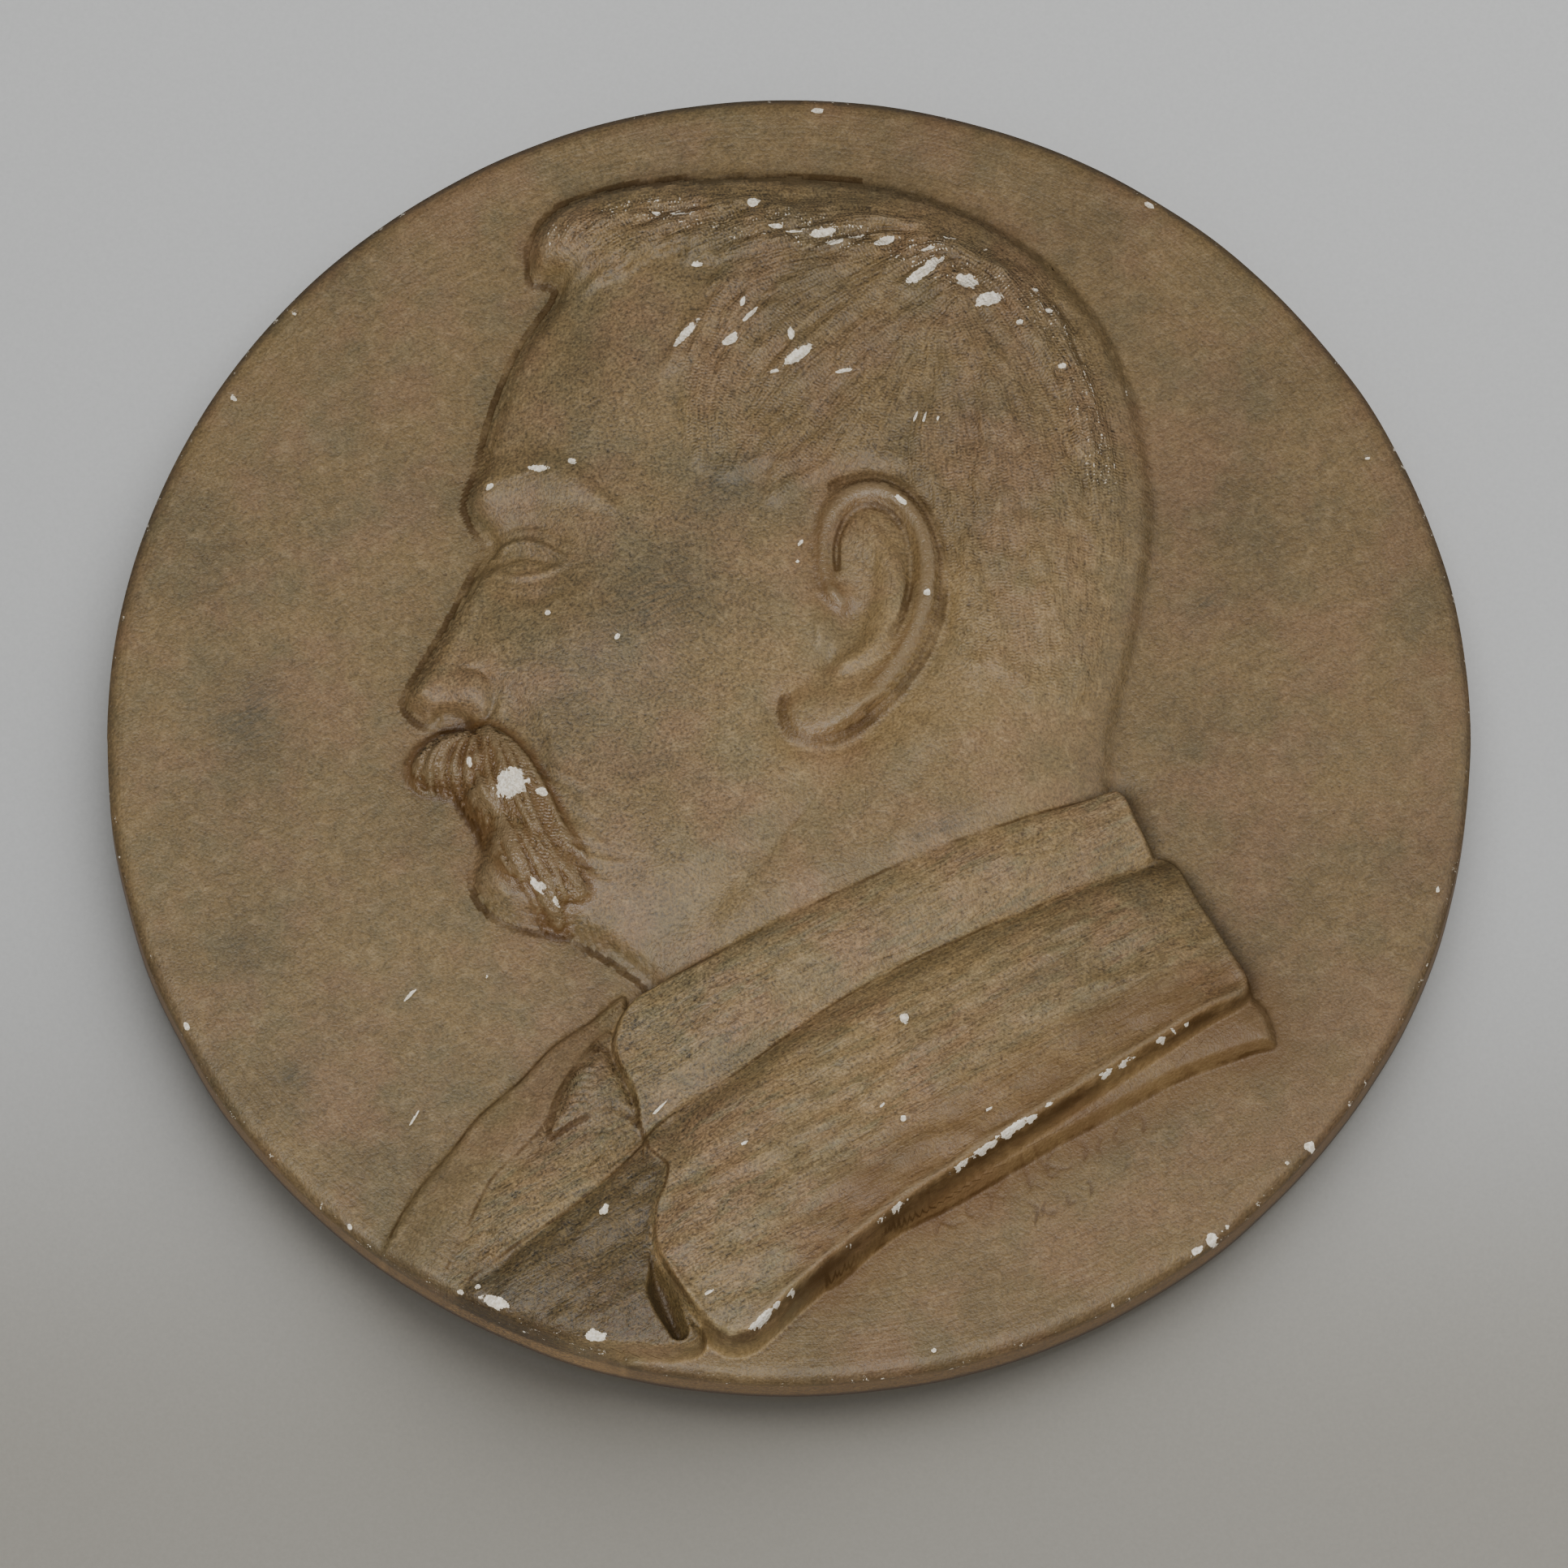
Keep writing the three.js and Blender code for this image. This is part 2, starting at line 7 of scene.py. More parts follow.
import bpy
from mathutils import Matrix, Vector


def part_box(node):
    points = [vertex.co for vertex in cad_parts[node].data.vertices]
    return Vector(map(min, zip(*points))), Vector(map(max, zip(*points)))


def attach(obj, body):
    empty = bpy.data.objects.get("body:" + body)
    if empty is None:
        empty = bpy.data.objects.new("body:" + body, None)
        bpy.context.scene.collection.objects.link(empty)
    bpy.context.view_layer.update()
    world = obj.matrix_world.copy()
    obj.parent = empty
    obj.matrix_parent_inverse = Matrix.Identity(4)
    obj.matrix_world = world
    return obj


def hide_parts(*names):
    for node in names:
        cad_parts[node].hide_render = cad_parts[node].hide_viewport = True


bl_info = {
    "name": "Plaster relief medallion",
    "version": (1, 0, 0),
    "blender": (4, 5, 0),
    "location": "3D View > Sidebar > Medallion",
    "description": "Casts a round plaster plaque with a low-relief bust and sets its stage",
    "category": "Add Mesh",
}

import math

import bmesh
import bpy
import numpy as np
from mathutils import Matrix, Vector

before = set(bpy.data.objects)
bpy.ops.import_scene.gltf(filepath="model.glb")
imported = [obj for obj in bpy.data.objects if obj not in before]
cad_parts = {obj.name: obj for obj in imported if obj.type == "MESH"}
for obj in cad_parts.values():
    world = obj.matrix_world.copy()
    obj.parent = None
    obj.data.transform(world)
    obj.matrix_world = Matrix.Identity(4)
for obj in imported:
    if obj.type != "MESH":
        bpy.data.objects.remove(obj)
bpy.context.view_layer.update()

MM = 0.001
DISC_LOW, DISC_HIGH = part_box("medallion")
RADIUS = (DISC_HIGH.x - DISC_LOW.x) / 2 / MM
DEPTH = -DISC_LOW.y / MM  # back to the highest point of the bust


# Shapes in the plane of the disc


def smooth(t):
    t = np.clip(t, 0, 1)
    return t * t * (3 - 2 * t)


def rounded(t):
    return np.sqrt(1 - (1 - np.clip(t, 0, 1)) ** 2)


def swell(t):
    return np.sin(np.clip(t, 0, 1) * np.pi / 2)


def line(points, closed=False, steps=6):
    """A smooth line through a few points."""
    p = np.array(points, float)
    count = len(p)
    out = []
    for i in range(count if closed else count - 1):
        if closed:
            a, b, c, d = (p[(i + k) % count] for k in (-1, 0, 1, 2))
        else:
            a, b, c, d = p[max(i - 1, 0)], p[i], p[i + 1], p[min(i + 2, count - 1)]
        for t in np.arange(steps) / steps:
            cubic = 3 * b - a - 3 * c + d
            square = 2 * a - 5 * b + 4 * c - d
            out.append((2 * b + (c - a) * t + square * t**2 + cubic * t**3) / 2)
    out.append(out[0] if closed else p[-1])
    return np.array(out)


def outline(points):
    return line(points, closed=True)


def nearest(x, z, path):
    """Distance to a line, how far along it as a share, the side, and whether it goes round."""
    steps = np.hypot(*(path[1:] - path[:-1]).T)
    run = np.concatenate([[0], np.cumsum(steps)])
    best = np.full(x.shape, 1e18)
    share = np.zeros(x.shape)
    side = np.ones(x.shape)
    inside = np.zeros(x.shape, bool)
    for i, ((ax, az), (bx, bz)) in enumerate(zip(path[:-1], path[1:])):
        dx, dz = bx - ax, bz - az
        square = dx * dx + dz * dz
        if square == 0:
            continue
        t = np.clip(((x - ax) * dx + (z - az) * dz) / square, 0, 1)
        d = (x - ax - t * dx) ** 2 + (z - az - t * dz) ** 2
        near = d < best
        best = np.where(near, d, best)
        share = np.where(near, (run[i] + t * steps[i]) / run[-1], share)
        side = np.where(near, np.sign(dx * (z - az) - dz * (x - ax)), side)
        if dz != 0:
            inside ^= ((az > z) != (bz > z)) & (x < dx * (z - az) / dz + ax)
    return np.sqrt(best), share, side, inside


# Noise


def lattice(i, j, seed):
    n = np.sin(i * 127.1 + j * 311.7 + seed * 74.7) * 43758.5453
    return n - np.floor(n)


def noise(x, z, seed=0):
    """Smooth random values from -1 to 1 that change over a distance of 1."""
    i, j = np.floor(x), np.floor(z)
    u, v = smooth(x - i), smooth(z - j)
    low = lattice(i, j, seed) * (1 - u) + lattice(i + 1, j, seed) * u
    high = lattice(i, j + 1, seed) * (1 - u) + lattice(i + 1, j + 1, seed) * u
    return 2 * (low * (1 - v) + high * v) - 1


def streaks(x, z, cell, length, seed, flow, steps=7):
    """Noise smeared along a flow: slow to change along it, quick across it."""
    total = noise(x / cell, z / cell, seed)
    for way in (1, -1):
        px, pz = x.copy(), z.copy()
        last_x, last_z = None, None
        for _ in range(steps):
            fx, fz = flow(px, pz)
            if last_x is None:
                turn = way
            else:
                turn = np.where(fx * last_x + fz * last_z < 0, -1, 1)
            last_x, last_z = fx * turn, fz * turn
            px += last_x * length / steps / 2
            pz += last_z * length / steps / 2
            total += noise(px / cell, pz / cell, seed)
    return total / math.sqrt(2 * steps + 1) * 1.1


def straight(angle):
    way = math.cos(math.radians(angle)), math.sin(math.radians(angle))
    return lambda x, z: (np.full(x.shape, way[0]), np.full(x.shape, way[1]))


# The relief as a height at many places


class Relief:
    """Heights over the back at the places x, z, built up layer on layer."""

    def __init__(self, x, z):
        self.x, self.z = x, z
        self.h = np.zeros(x.shape)

    def near(self, path, reach):
        low, high = path.min(0) - reach, path.max(0) + reach
        x_in = (self.x > low[0]) & (self.x < high[0])
        return np.where(x_in & (self.z > low[1]) & (self.z < high[1]))[0]

    def edge(self, path, reach=12.0):
        """How far inside an outline each place is, below zero outside it."""
        on = self.near(path, reach)
        d = np.full(self.x.shape, -reach)
        distance, _, _, inside = nearest(self.x[on], self.z[on], path)
        d[on] = np.where(inside, distance, -np.minimum(distance, reach))
        return d

    def depth(self, path, edge):
        """Depth inside an outline without the creases that the distance has."""
        on = np.where(edge > 0)[0]
        x, z = self.x[on], self.z[on]
        total = np.zeros(x.shape)
        for (ax, az), (bx, bz) in zip(path[:-1], path[1:]):
            length = math.hypot(bx - ax, bz - az)
            if length == 0:
                continue
            ux, uz = (bx - ax) / length, (bz - az) / length
            start = (ax - x) * ux + (az - z) * uz
            end = start + length
            off = np.maximum(np.abs((z - az) * ux - (x - ax) * uz), 0.2)
            square = off * off
            total += (end / (square + end * end) - start / (square + start * start)) / (2 * square)
            total += (np.arctan(end / off) - np.arctan(start / off)) / (2 * off**3)
        out = np.zeros(self.x.shape)
        out[on] = np.cbrt(np.pi / 2 / np.maximum(total, 1e-12))
        return out

    def lay(self, surface, edge, width, soft=0.5):
        """Lays a surface on, rising from its outline with a rounded shoulder and a soft foot."""
        rise = (swell((edge + soft) / width) + smooth((edge + soft) / width)) / 2
        self.h += (surface - self.h) * rise

    def strip(self, path, width, height, ends, power=1.5):
        """A rounded ridge along a line, as the places it reaches and its height there."""
        on = self.near(path, width)
        if not len(on):
            return on, 0
        distance, share, _, _ = nearest(self.x[on], self.z[on], path)
        start = ends[0] + (1 - ends[0]) * smooth(share * 2.2)
        end = ends[1] + (1 - ends[1]) * smooth((1 - share) * 2.2)
        taper = start * end
        t = np.clip(1 - (distance / (width * taper)) ** 2, 0, 1)
        return on, height * t**power * np.minimum(1, taper + 0.25)

    def ridge(self, points, width, height, ends=(0.5, 0.5), power=1.5):
        on, add = self.strip(line(points), width, height, ends, power)
        self.h[on] += add

    def bump(self, at, radii, height, tilt=0):
        angle = math.radians(tilt)
        dx, dz = self.x - at[0], self.z - at[1]
        u = (dx * math.cos(angle) + dz * math.sin(angle)) / radii[0]
        v = (dz * math.cos(angle) - dx * math.sin(angle)) / radii[1]
        self.h += height * np.exp(-u * u - v * v)


GROUND = 14.0

# How far each layer's foot rises over the ground
BACK_RISE = 4.2
SHIRT_RISE = 2.6
TIE_RISE = 5.0
LAPEL_RISE = 5.6
COAT_RISE = 10.6
COLLAR_RISE = 11.8
HEAD_RISE = 5.2
EAR_RISE = 13.4
MOUSTACHE_RISE = 8.6

# The head's dome over its foot, and how far in from its outline it is full
HEAD_DOME = 8.8
DOME_REACH = 40
BACK_OF_HEAD_DROP = 2.6

# The rounded front rim, and how near to it no seam is drawn
RIM_DROP = 2.1
RIM_WIDTH = 3.5
RIM_CLEAR = 4

SEAM_NONE = 4.0  # a distance at which no seam shows

HEAD = outline([
    (-62, 126), (-72, 110), (-79, 92), (-83, 76), (-86, 67), (-84, 60), (-80.5, 54), (-84, 46),
    (-90, 34), (-96, 23), (-101, 14), (-101.5, 9), (-97, 4.5), (-91, 3), (-85.5, 2.5), (-86, -3),
    (-88.5, -8.5), (-86, -12.5), (-87, -17), (-85.5, -21), (-81.5, -26), (-83, -33), (-83.5, -40),
    (-80, -47), (-72, -52), (-60, -55), (-46, -62), (-34, -74), (-30, -95), (70, -60), (87, -30),
    (86.5, -12), (88, 4), (91.5, 20), (95.5, 40), (98, 60), (96.5, 79), (91.5, 101), (82, 121),
    (68, 137), (49, 149), (28, 156.5), (2, 159.5), (-26, 159), (-45, 156.5), (-58, 152.5),
    (-66, 146), (-69.5, 137), (-68.5, 129),
])
PROFILE_STEPS = 150  # of the head's outline, from the forehead to the chin
HAIR = outline([
    (-68, 127), (-75, 140), (-60, 165), (0, 175), (60, 160), (100, 120), (110, 60), (100, 10),
    (84, 8), (72, 4), (60, 8), (49, 15), (43, 30), (36, 56), (24, 71), (8, 67), (-3, 63),
    (-10, 68), (-20, 73), (-29, 84), (-33, 100), (-30, 114), (-21, 127), (-32, 132), (-48, 129),
    (-60, 124),
])
EAR = outline([
    (3, 57), (7.5, 63.5), (14, 68), (22.8, 69.5), (30, 66.5), (36, 60), (39.5, 51.5), (40.6, 41.4),
    (39.5, 31), (36, 21.5), (30, 12), (23, 4.5), (15, -1.5), (6.7, -3.8), (1, -2), (-1.2, 3.9),
    (0.5, 10), (4, 16), (6, 24), (5, 34), (3, 45),
])
HELIX = [
    (14, 34), (10.2, 40), (8.8, 48), (10, 56.5), (14.5, 63), (21.5, 65.7), (29, 63), (34.6, 56),
    (36.8, 46), (36.2, 36), (33, 26), (28, 17.5), (23, 11.5),
]
HELIX_GROOVE = [
    (12.8, 44), (13, 52), (16, 58.6), (21.3, 61.2), (27, 58.8), (31, 52), (32.2, 43), (30.8, 33),
    (26.8, 23.5),
]
ANTIHELIX = [(21, 55.5), (25.6, 48), (27, 39), (25.4, 29.5), (21, 21), (14.5, 16.8)]
MOUSTACHE = outline([
    (-86, 3), (-93, 1), (-98.5, -3.5), (-100, -9), (-96.5, -13.5), (-90.5, -14.5), (-85.5, -17.5),
    (-81.5, -25), (-77.5, -33), (-75, -39.5), (-71, -43), (-68.5, -43.5), (-66, -48.5),
    (-62, -53.5), (-58, -53), (-58, -48.5), (-54, -48.5), (-51.5, -43), (-54, -36), (-57.5, -28),
    (-62, -18), (-67, -9), (-73, -1.5), (-79, 2.5),
])
SHIRT = outline([
    (-43, -71), (-52, -78), (-62, -85), (-71, -95), (-81, -104), (-88.5, -114), (-95, -122),
    (-101, -131), (-106, -141), (-112, -154), (-124, -190), (-60, -200), (-30, -130), (-36, -100),
    (-42, -84),
])
TIE = outline([
    (-47, -82), (-55, -90), (-60.5, -99), (-63.5, -107), (-70, -115), (-77, -122), (-81, -129),
    (-84, -136), (-88, -144), (-92, -155), (-104, -190), (-60, -190), (-38, -115), (-38, -104),
    (-42, -92),
])
LAPEL = outline([
    (-30, -106), (-36, -111.7), (-46, -122), (-58, -132.5), (-68, -139.7), (-78.5, -147.5),
    (-90, -157), (-106, -182), (-90, -190), (-79, -166.5), (-60, -169), (-39, -171), (-28, -171.5),
    (-22, -168), (-24, -156), (-27, -146), (-27, -135), (-26, -120),
])
KNOT = outline([
    (-50.7, -87.5), (-45.5, -90), (-41.9, -98), (-36.5, -110), (-43.5, -105.2), (-50, -105.2),
    (-56, -108), (-62.7, -111.5), (-59.5, -99),
])
COLLAR = outline([
    (-44, -78), (-37, -70.5), (-20, -62.5), (-2.5, -53.5), (17, -44), (38, -34), (60, -25.5),
    (77, -19), (87, -15.5), (92, -24), (97, -36), (94, -41), (71, -51), (50, -60.5), (28.5, -71),
    (7, -84), (-14, -100), (-35, -115), (-41, -100), (-46, -88),
])
COLLAR_TOP = line([(-37, -70.5), (-2.5, -53.5), (38, -34), (87, -15.5)])
COAT = outline([
    (-37, -112), (-15, -96.5), (6, -80.5), (27.5, -67), (49, -56.5), (70, -47), (90, -38),
    (100, -34), (108, -47), (115, -59), (121, -72), (109, -80.5), (92, -92), (70, -107), (49, -121),
    (27.5, -136), (6, -154), (-6, -165.5), (-11, -169), (-17, -169), (-24, -162), (-30, -153),
    (-34.5, -144), (-34.5, -134), (-31.5, -122),
])
COAT_TOP = line([
    (-37, -112), (-15, -96.5), (6, -80.5), (27.5, -67), (49, -56.5), (70, -47), (100, -34),
])
COAT_BACK = outline([
    (121, -71), (128, -84), (121, -87), (103, -94), (87, -103), (66, -115), (45, -128), (27, -138),
    (10, -152), (20, -130), (60, -100), (100, -76),
])
THROAT = line([(-80, -47), (-72, -52), (-60, -55), (-46, -62), (-38, -70)])
JAW = line([(-84, -56), (-66, -57), (-48, -50), (-30, -38), (-12, -24), (2, -6), (8, 14), (10, 40)])

# Places on the head and the angle of the brushed strands there, from level, rising to the right
STRANDS = [
    (-64, 140, 60), (-52, 150, 20), (-30, 152, 3), (0, 154, 2), (30, 150, -12), (55, 142, -32),
    (75, 125, -52), (88, 100, -72), (94, 70, -85), (90, 40, -95), (80, 20, -92), (62, 25, -84),
    (60, 60, -80), (50, 90, -70), (60, 110, -55), (30, 125, 35), (5, 135, 12), (-20, 135, 25),
    (-24, 112, 60), (-30, 95, 80), (-22, 82, 100), (-5, 85, 55), (15, 90, 50), (10, 110, 42),
    (30, 85, 75), (42, 75, -85), (0, 70, 40), (50, 35, -80),
]


def brushed(x, z):
    """The way that the hair is brushed at each place."""
    c, s = np.zeros(x.shape), np.zeros(x.shape)
    for at_x, at_z, angle in STRANDS:
        weight = ((x - at_x) ** 2 + (z - at_z) ** 2 + 60) ** -1.5
        c += weight * math.cos(2 * math.radians(angle))
        s += weight * math.sin(2 * math.radians(angle))
    a = np.arctan2(s, c) / 2
    return np.cos(a), np.sin(a)


def traced(x, z, length, bow, flow, steps=3):
    """Short lines through the places x, z that follow a flow both ways, bent by a bow."""
    halves = []
    for way in (-1, 1):
        px, pz = x, z
        fx, fz = flow(px, pz)
        last = fx * way, fz * way
        half = []
        for _ in range(steps):
            fx, fz = flow(px, pz)
            turn = np.where(fx * last[0] + fz * last[1] < 0, -1, 1)
            last = fx * turn, fz * turn
            px = px + last[0] * length / steps / 2 - last[1] * bow * way
            pz = pz + last[1] * length / steps / 2 + last[0] * bow * way
            half.append((px, pz))
        halves.append(half)
    return np.array(halves[0][::-1] + [(x, z)] + halves[1]).transpose(2, 0, 1)


def locks(m, places, flow, lock, seed):
    """Many small tapered locks, each over or under its neighbours, as one height."""
    length, width, height = lock
    spread = np.random.default_rng(seed).uniform(-1, 1, (len(places), 6))
    x = places[:, 0] + spread[:, 0] * width * 1.3
    z = places[:, 1] + spread[:, 1] * width * 1.3
    lines = traced(x, z, length * (1 + 0.35 * spread[:, 2]), 0.25 * spread[:, 3], flow)
    total = np.zeros(m.x.shape)
    for points, (_, _, _, _, wide, high) in zip(lines, spread):
        path = line(points, steps=2)
        width_here, height_here = width * (1 + 0.3 * wide), height * (0.8 + 0.3 * high)
        on, add = m.strip(path, width_here, height_here, (0.25, 0.25), 1.0)
        total[on] = np.maximum(total[on], add)
    return total


def places_over(low, high, pitch):
    """Staggered places over a rectangle."""
    rows = np.arange(low[1], high[1], pitch)
    columns = np.arange(low[0], high[0], pitch)
    return np.array([(x + (k % 2) * pitch / 2, z) for k, z in enumerate(rows) for x in columns])


def hair_places(pitch):
    """Staggered places over the hair alone."""
    places = places_over((-68, 0), (98, 158), pitch)
    at = Relief(places[:, 0], places[:, 1])
    return places[np.minimum(at.edge(HAIR, 3), at.edge(HEAD, 3)) > -2]


# Length, width and height of the locks, and the pitch at which the hair's ones are set
BROW_LOCKS = 14
BROW_LOCK = (7, 1.1, 0.5)
TUFT = (13, 2.2, 0.75)
TUFT_PITCH = 7.5
FINE_LOCK = (8, 1.2, 0.5)
FINE_PITCH = 4.6


def carve_face(m, head):
    """Eye, brow, nose, lips, chin, cheek and the line of the jaw."""
    plain = m.h.copy()
    m.bump((-69, 50), (11, 9), -3.6, -10)  # eye socket
    m.bump((-78, 52), (6, 6), -1.6)  # root of the nose
    m.bump((-50, 27), (20, 12), 1.5, 15)  # cheekbone
    m.bump((-44, 76), (12, 12), -1.0)  # temple
    m.bump((-66, 96), (16, 14), 0.8)  # forehead
    m.bump((-46, -4), (18, 16), -1.0)  # hollow of the cheek
    m.ridge([(-87, 63), (-80, 68.5), (-70, 71.5), (-58, 69), (-46, 61)], 8.0, 2.0, (0.7, 0.25))
    brow = []
    for k in range(BROW_LOCKS):
        arch = 67.5 + 4.5 * math.sin(k / BROW_LOCKS * math.pi)
        brow.append((-83 + 2.6 * k, arch + 1.7 * (k % 2)))
    m.h += locks(m, np.array(brow), straight(22), BROW_LOCK, 41)
    m.bump((-70.5, 48.5), (7, 6), 2.6)  # eyeball
    m.ridge([(-78.5, 49.5), (-74, 53.0), (-67, 52.6), (-58, 47)], 1.9, 1.5, (0.6, 0.4))
    m.ridge([(-77.5, 45), (-71, 43.2), (-64, 44.0), (-58, 46.5)], 1.6, 0.9, (0.6, 0.5))
    m.ridge([(-76, 48.0), (-70, 49.2), (-62, 46.8)], 1.6, -0.9, (0.8, 0.3))
    m.ridge([(-79, 55), (-72, 58.5), (-63, 57.0), (-53, 49)], 2.0, -0.9, (0.4, 0.3))
    m.ridge([(-76, 40), (-68, 36.5), (-58, 38.5)], 3.0, -0.6, (0.3, 0.2))
    m.ridge([(-80, 52), (-86, 38), (-93, 24), (-98, 13)], 8, 1.6, (0.4, 0.8))
    m.bump((-96.5, 11), (5.5, 5.5), 1.4)  # tip of the nose
    m.bump((-84.5, 10.5), (6, 5.2), 2.8, -20)  # wing of the nose
    m.ridge([(-86, 18), (-80.5, 16.5), (-77.5, 11), (-79, 5), (-83, 2.5)], 2.2, -1.5, (0.3, 0.5))
    m.ridge([(-94.5, 4.2), (-91.5, 6.5), (-87, 6.2), (-84.5, 4.2)], 1.9, -2.2, (0.6, 0.5))
    m.ridge([(-76.5, 14), (-71, 6), (-66, -4), (-63, -14)], 4.5, -1.2, (0.3, 0.3))
    m.bump((-82, -17.8), (6, 3.4), 1.6, 8)  # lower lip
    m.bump((-79, -26), (6, 3.5), -1.4, 10)  # below the lip
    m.bump((-77, -39), (8, 8), 1.8)  # chin
    distance, share, side, _ = nearest(m.x, m.z, JAW)
    along = smooth(share * 5) * smooth((1 - share) * 3)
    across = smooth(distance / 14) * smooth((40 - distance) / 26)
    m.h -= 2.6 * along * across * (side < 0)
    m.ridge([(36, -2), (20, -16), (2, -34), (-14, -54)], 14, 1.3)  # muscle of the neck
    m.ridge([(8, -18), (-2, -30), (-8, -40)], 1.8, -0.6, (0.2, 0.2))
    m.h = plain + (m.h - plain) * smooth(head / 2.5)


# The change of plane from the top and back of the head to its side
CROWN = [(-62, 139), (-37, 145), (-3, 140), (27, 136), (47, 127), (65, 120), (76, 100), (82, 75)]


def carve_hair(m, head):
    """The hair's mass, its brushed strands and its locks; gives how much hair there is."""
    edge = np.where(head > 0, m.edge(HAIR, 8), -8)
    on = np.where(edge > -3)[0]
    x, z = m.x[on], m.z[on]
    ragged = edge[on] + 2.2 * streaks(x, z, 5, 20, 11, brushed)
    crest = 2.2 * smooth((z - 118) / 22) * smooth((24 - x) / 50)
    nape = smooth((30 - z) / 30)
    m.h[on] += (0.6 + crest - 0.3 * nape) * smooth(ragged / (3 + 6 * nape)) * smooth(head[on] / 5)
    m.ridge(CROWN, 15, 1.5, (0.6, 0.4), 2)
    amount = smooth(ragged / 6) * (1 - 0.15 * nape) * (0.06 + 0.94 * smooth((head[on] - 2) / 10))
    crown = np.exp(-((nearest(x, z, line(CROWN))[0] / 9) ** 2))
    amount *= 0.7 + 0.6 * crown
    m.h[on] += amount * 0.42 * streaks(x, z, 6, 18, 3, brushed)
    m.h[on] += amount * 0.3 * streaks(x, z, 2.8, 11, 5, brushed)
    m.h[on] += amount * 0.24 * streaks(x, z, 1.3, 6, 9, brushed)
    m.h[on] += amount * 0.22 * noise(x / 3.5, z / 3.5, 12)
    spread = np.zeros(m.x.shape)
    spread[on] = amount
    tufts = locks(m, hair_places(TUFT_PITCH), brushed, TUFT, 21)
    fine = locks(m, hair_places(FINE_PITCH), brushed, FINE_LOCK, 22)
    m.h += spread * np.maximum(tufts, fine)
    return spread


def carve_ear(m):
    """The ear; gives its edge, its dark lines and its glossy rolls."""
    ear = m.edge(EAR, 10)
    lobe = smooth((13 - m.z) / 9)
    behind = np.maximum(smooth((m.x - 4) / 14), lobe)
    m.h -= 1.1 * np.exp(-(((ear + 2.2) / 2.6) ** 2)) * behind * (ear > -9)
    front = smooth((13 - m.x) / 9) * smooth((m.z - 10) / 9) * smooth((62 - m.z) / 9)
    top = GROUND + EAR_RISE + 2.8 * smooth((m.x - 2) / 26) + 1.6 * lobe - 1.0 * front
    m.lay(top, ear, 3.4 + 6.0 * front)
    plain = m.h.copy()
    helix, groove = line(HELIX), line(HELIX_GROOVE)
    m.bump((20, 40), (12, 19), -1.2, -8)
    m.ridge(HELIX, 4.6, 1.5, (0.4, 0.15), 1.3)
    m.ridge(HELIX_GROOVE, 3.2, -1.2, (0.4, 0.2), 1.3)
    m.ridge(ANTIHELIX, 5.4, 1.9, (0.35, 0.6))
    m.ridge([(15.5, 55), (19.5, 50.5), (25, 45)], 3.4, 0.8, (0.3, 0.4))
    m.bump((16.8, 29), (6.2, 9), -2.4, -14)  # bowl of the ear
    m.ridge([(8, 37.5), (14, 36), (20, 34.6)], 4.0, 1.0, (0.3, 0.2))
    m.bump((8.0, 27), (3.8, 5.4), 2.0, 12)  # tragus
    m.bump((10.8, 18), (2.6, 3.4), -1.5, -20)  # notch under the tragus
    m.bump((9.5, 5), (10, 6.5), 0.8, 25)  # lobe
    m.h = plain + (m.h - plain) * smooth((ear + 1) / 3)
    roll = np.exp(-((nearest(m.x, m.z, helix)[0] / 3.4) ** 2))
    back_line = np.where(behind > 0.4, np.abs(ear + 0.5) * 0.6, 9)
    dark = np.minimum(nearest(m.x, m.z, groove)[0] - 0.7, back_line)
    lobe_roll = 0.7 * np.exp(-(((ear - 1) / 2.5) ** 2)) * lobe
    return ear, dark, np.maximum(roll, lobe_roll)


# The first and the last strand of the moustache; the others lie between them
FRONT_STRAND = [(-85, 1), (-93.5, -2), (-98, -8), (-97, -13.5), (-92, -15.5)]
BACK_STRAND = [(-77, 1), (-69.5, -8), (-63.5, -19.5), (-58.5, -31), (-55, -42)]
# Ends of the tufts at the bottom, each with the place it springs from
TUFTS = [
    ((-86, -10), (-76.5, -36)), ((-83, -13), (-72, -43)), ((-80, -18), (-68.5, -43.5)),
    ((-77, -22), (-65.5, -49)), ((-74, -24), (-60, -53)), ((-70, -26), (-58.5, -47)),
    ((-67, -24), (-53, -46.5)), ((-64, -22), (-52.5, -41)),
]

MOUSTACHE_STRANDS = 13
# Fine hairs that lie on the cheek behind the moustache
WISPS = [
    ((-64, -14), (-55, -22), (-48, -28)), ((-60, -24), (-52, -31), (-45, -35)),
    ((-58, -33), (-50, -37), (-41, -38)), ((-66, -8), (-59, -13), (-53, -17)),
    ((-56, -39), (-48, -43), (-43, -42)),
]


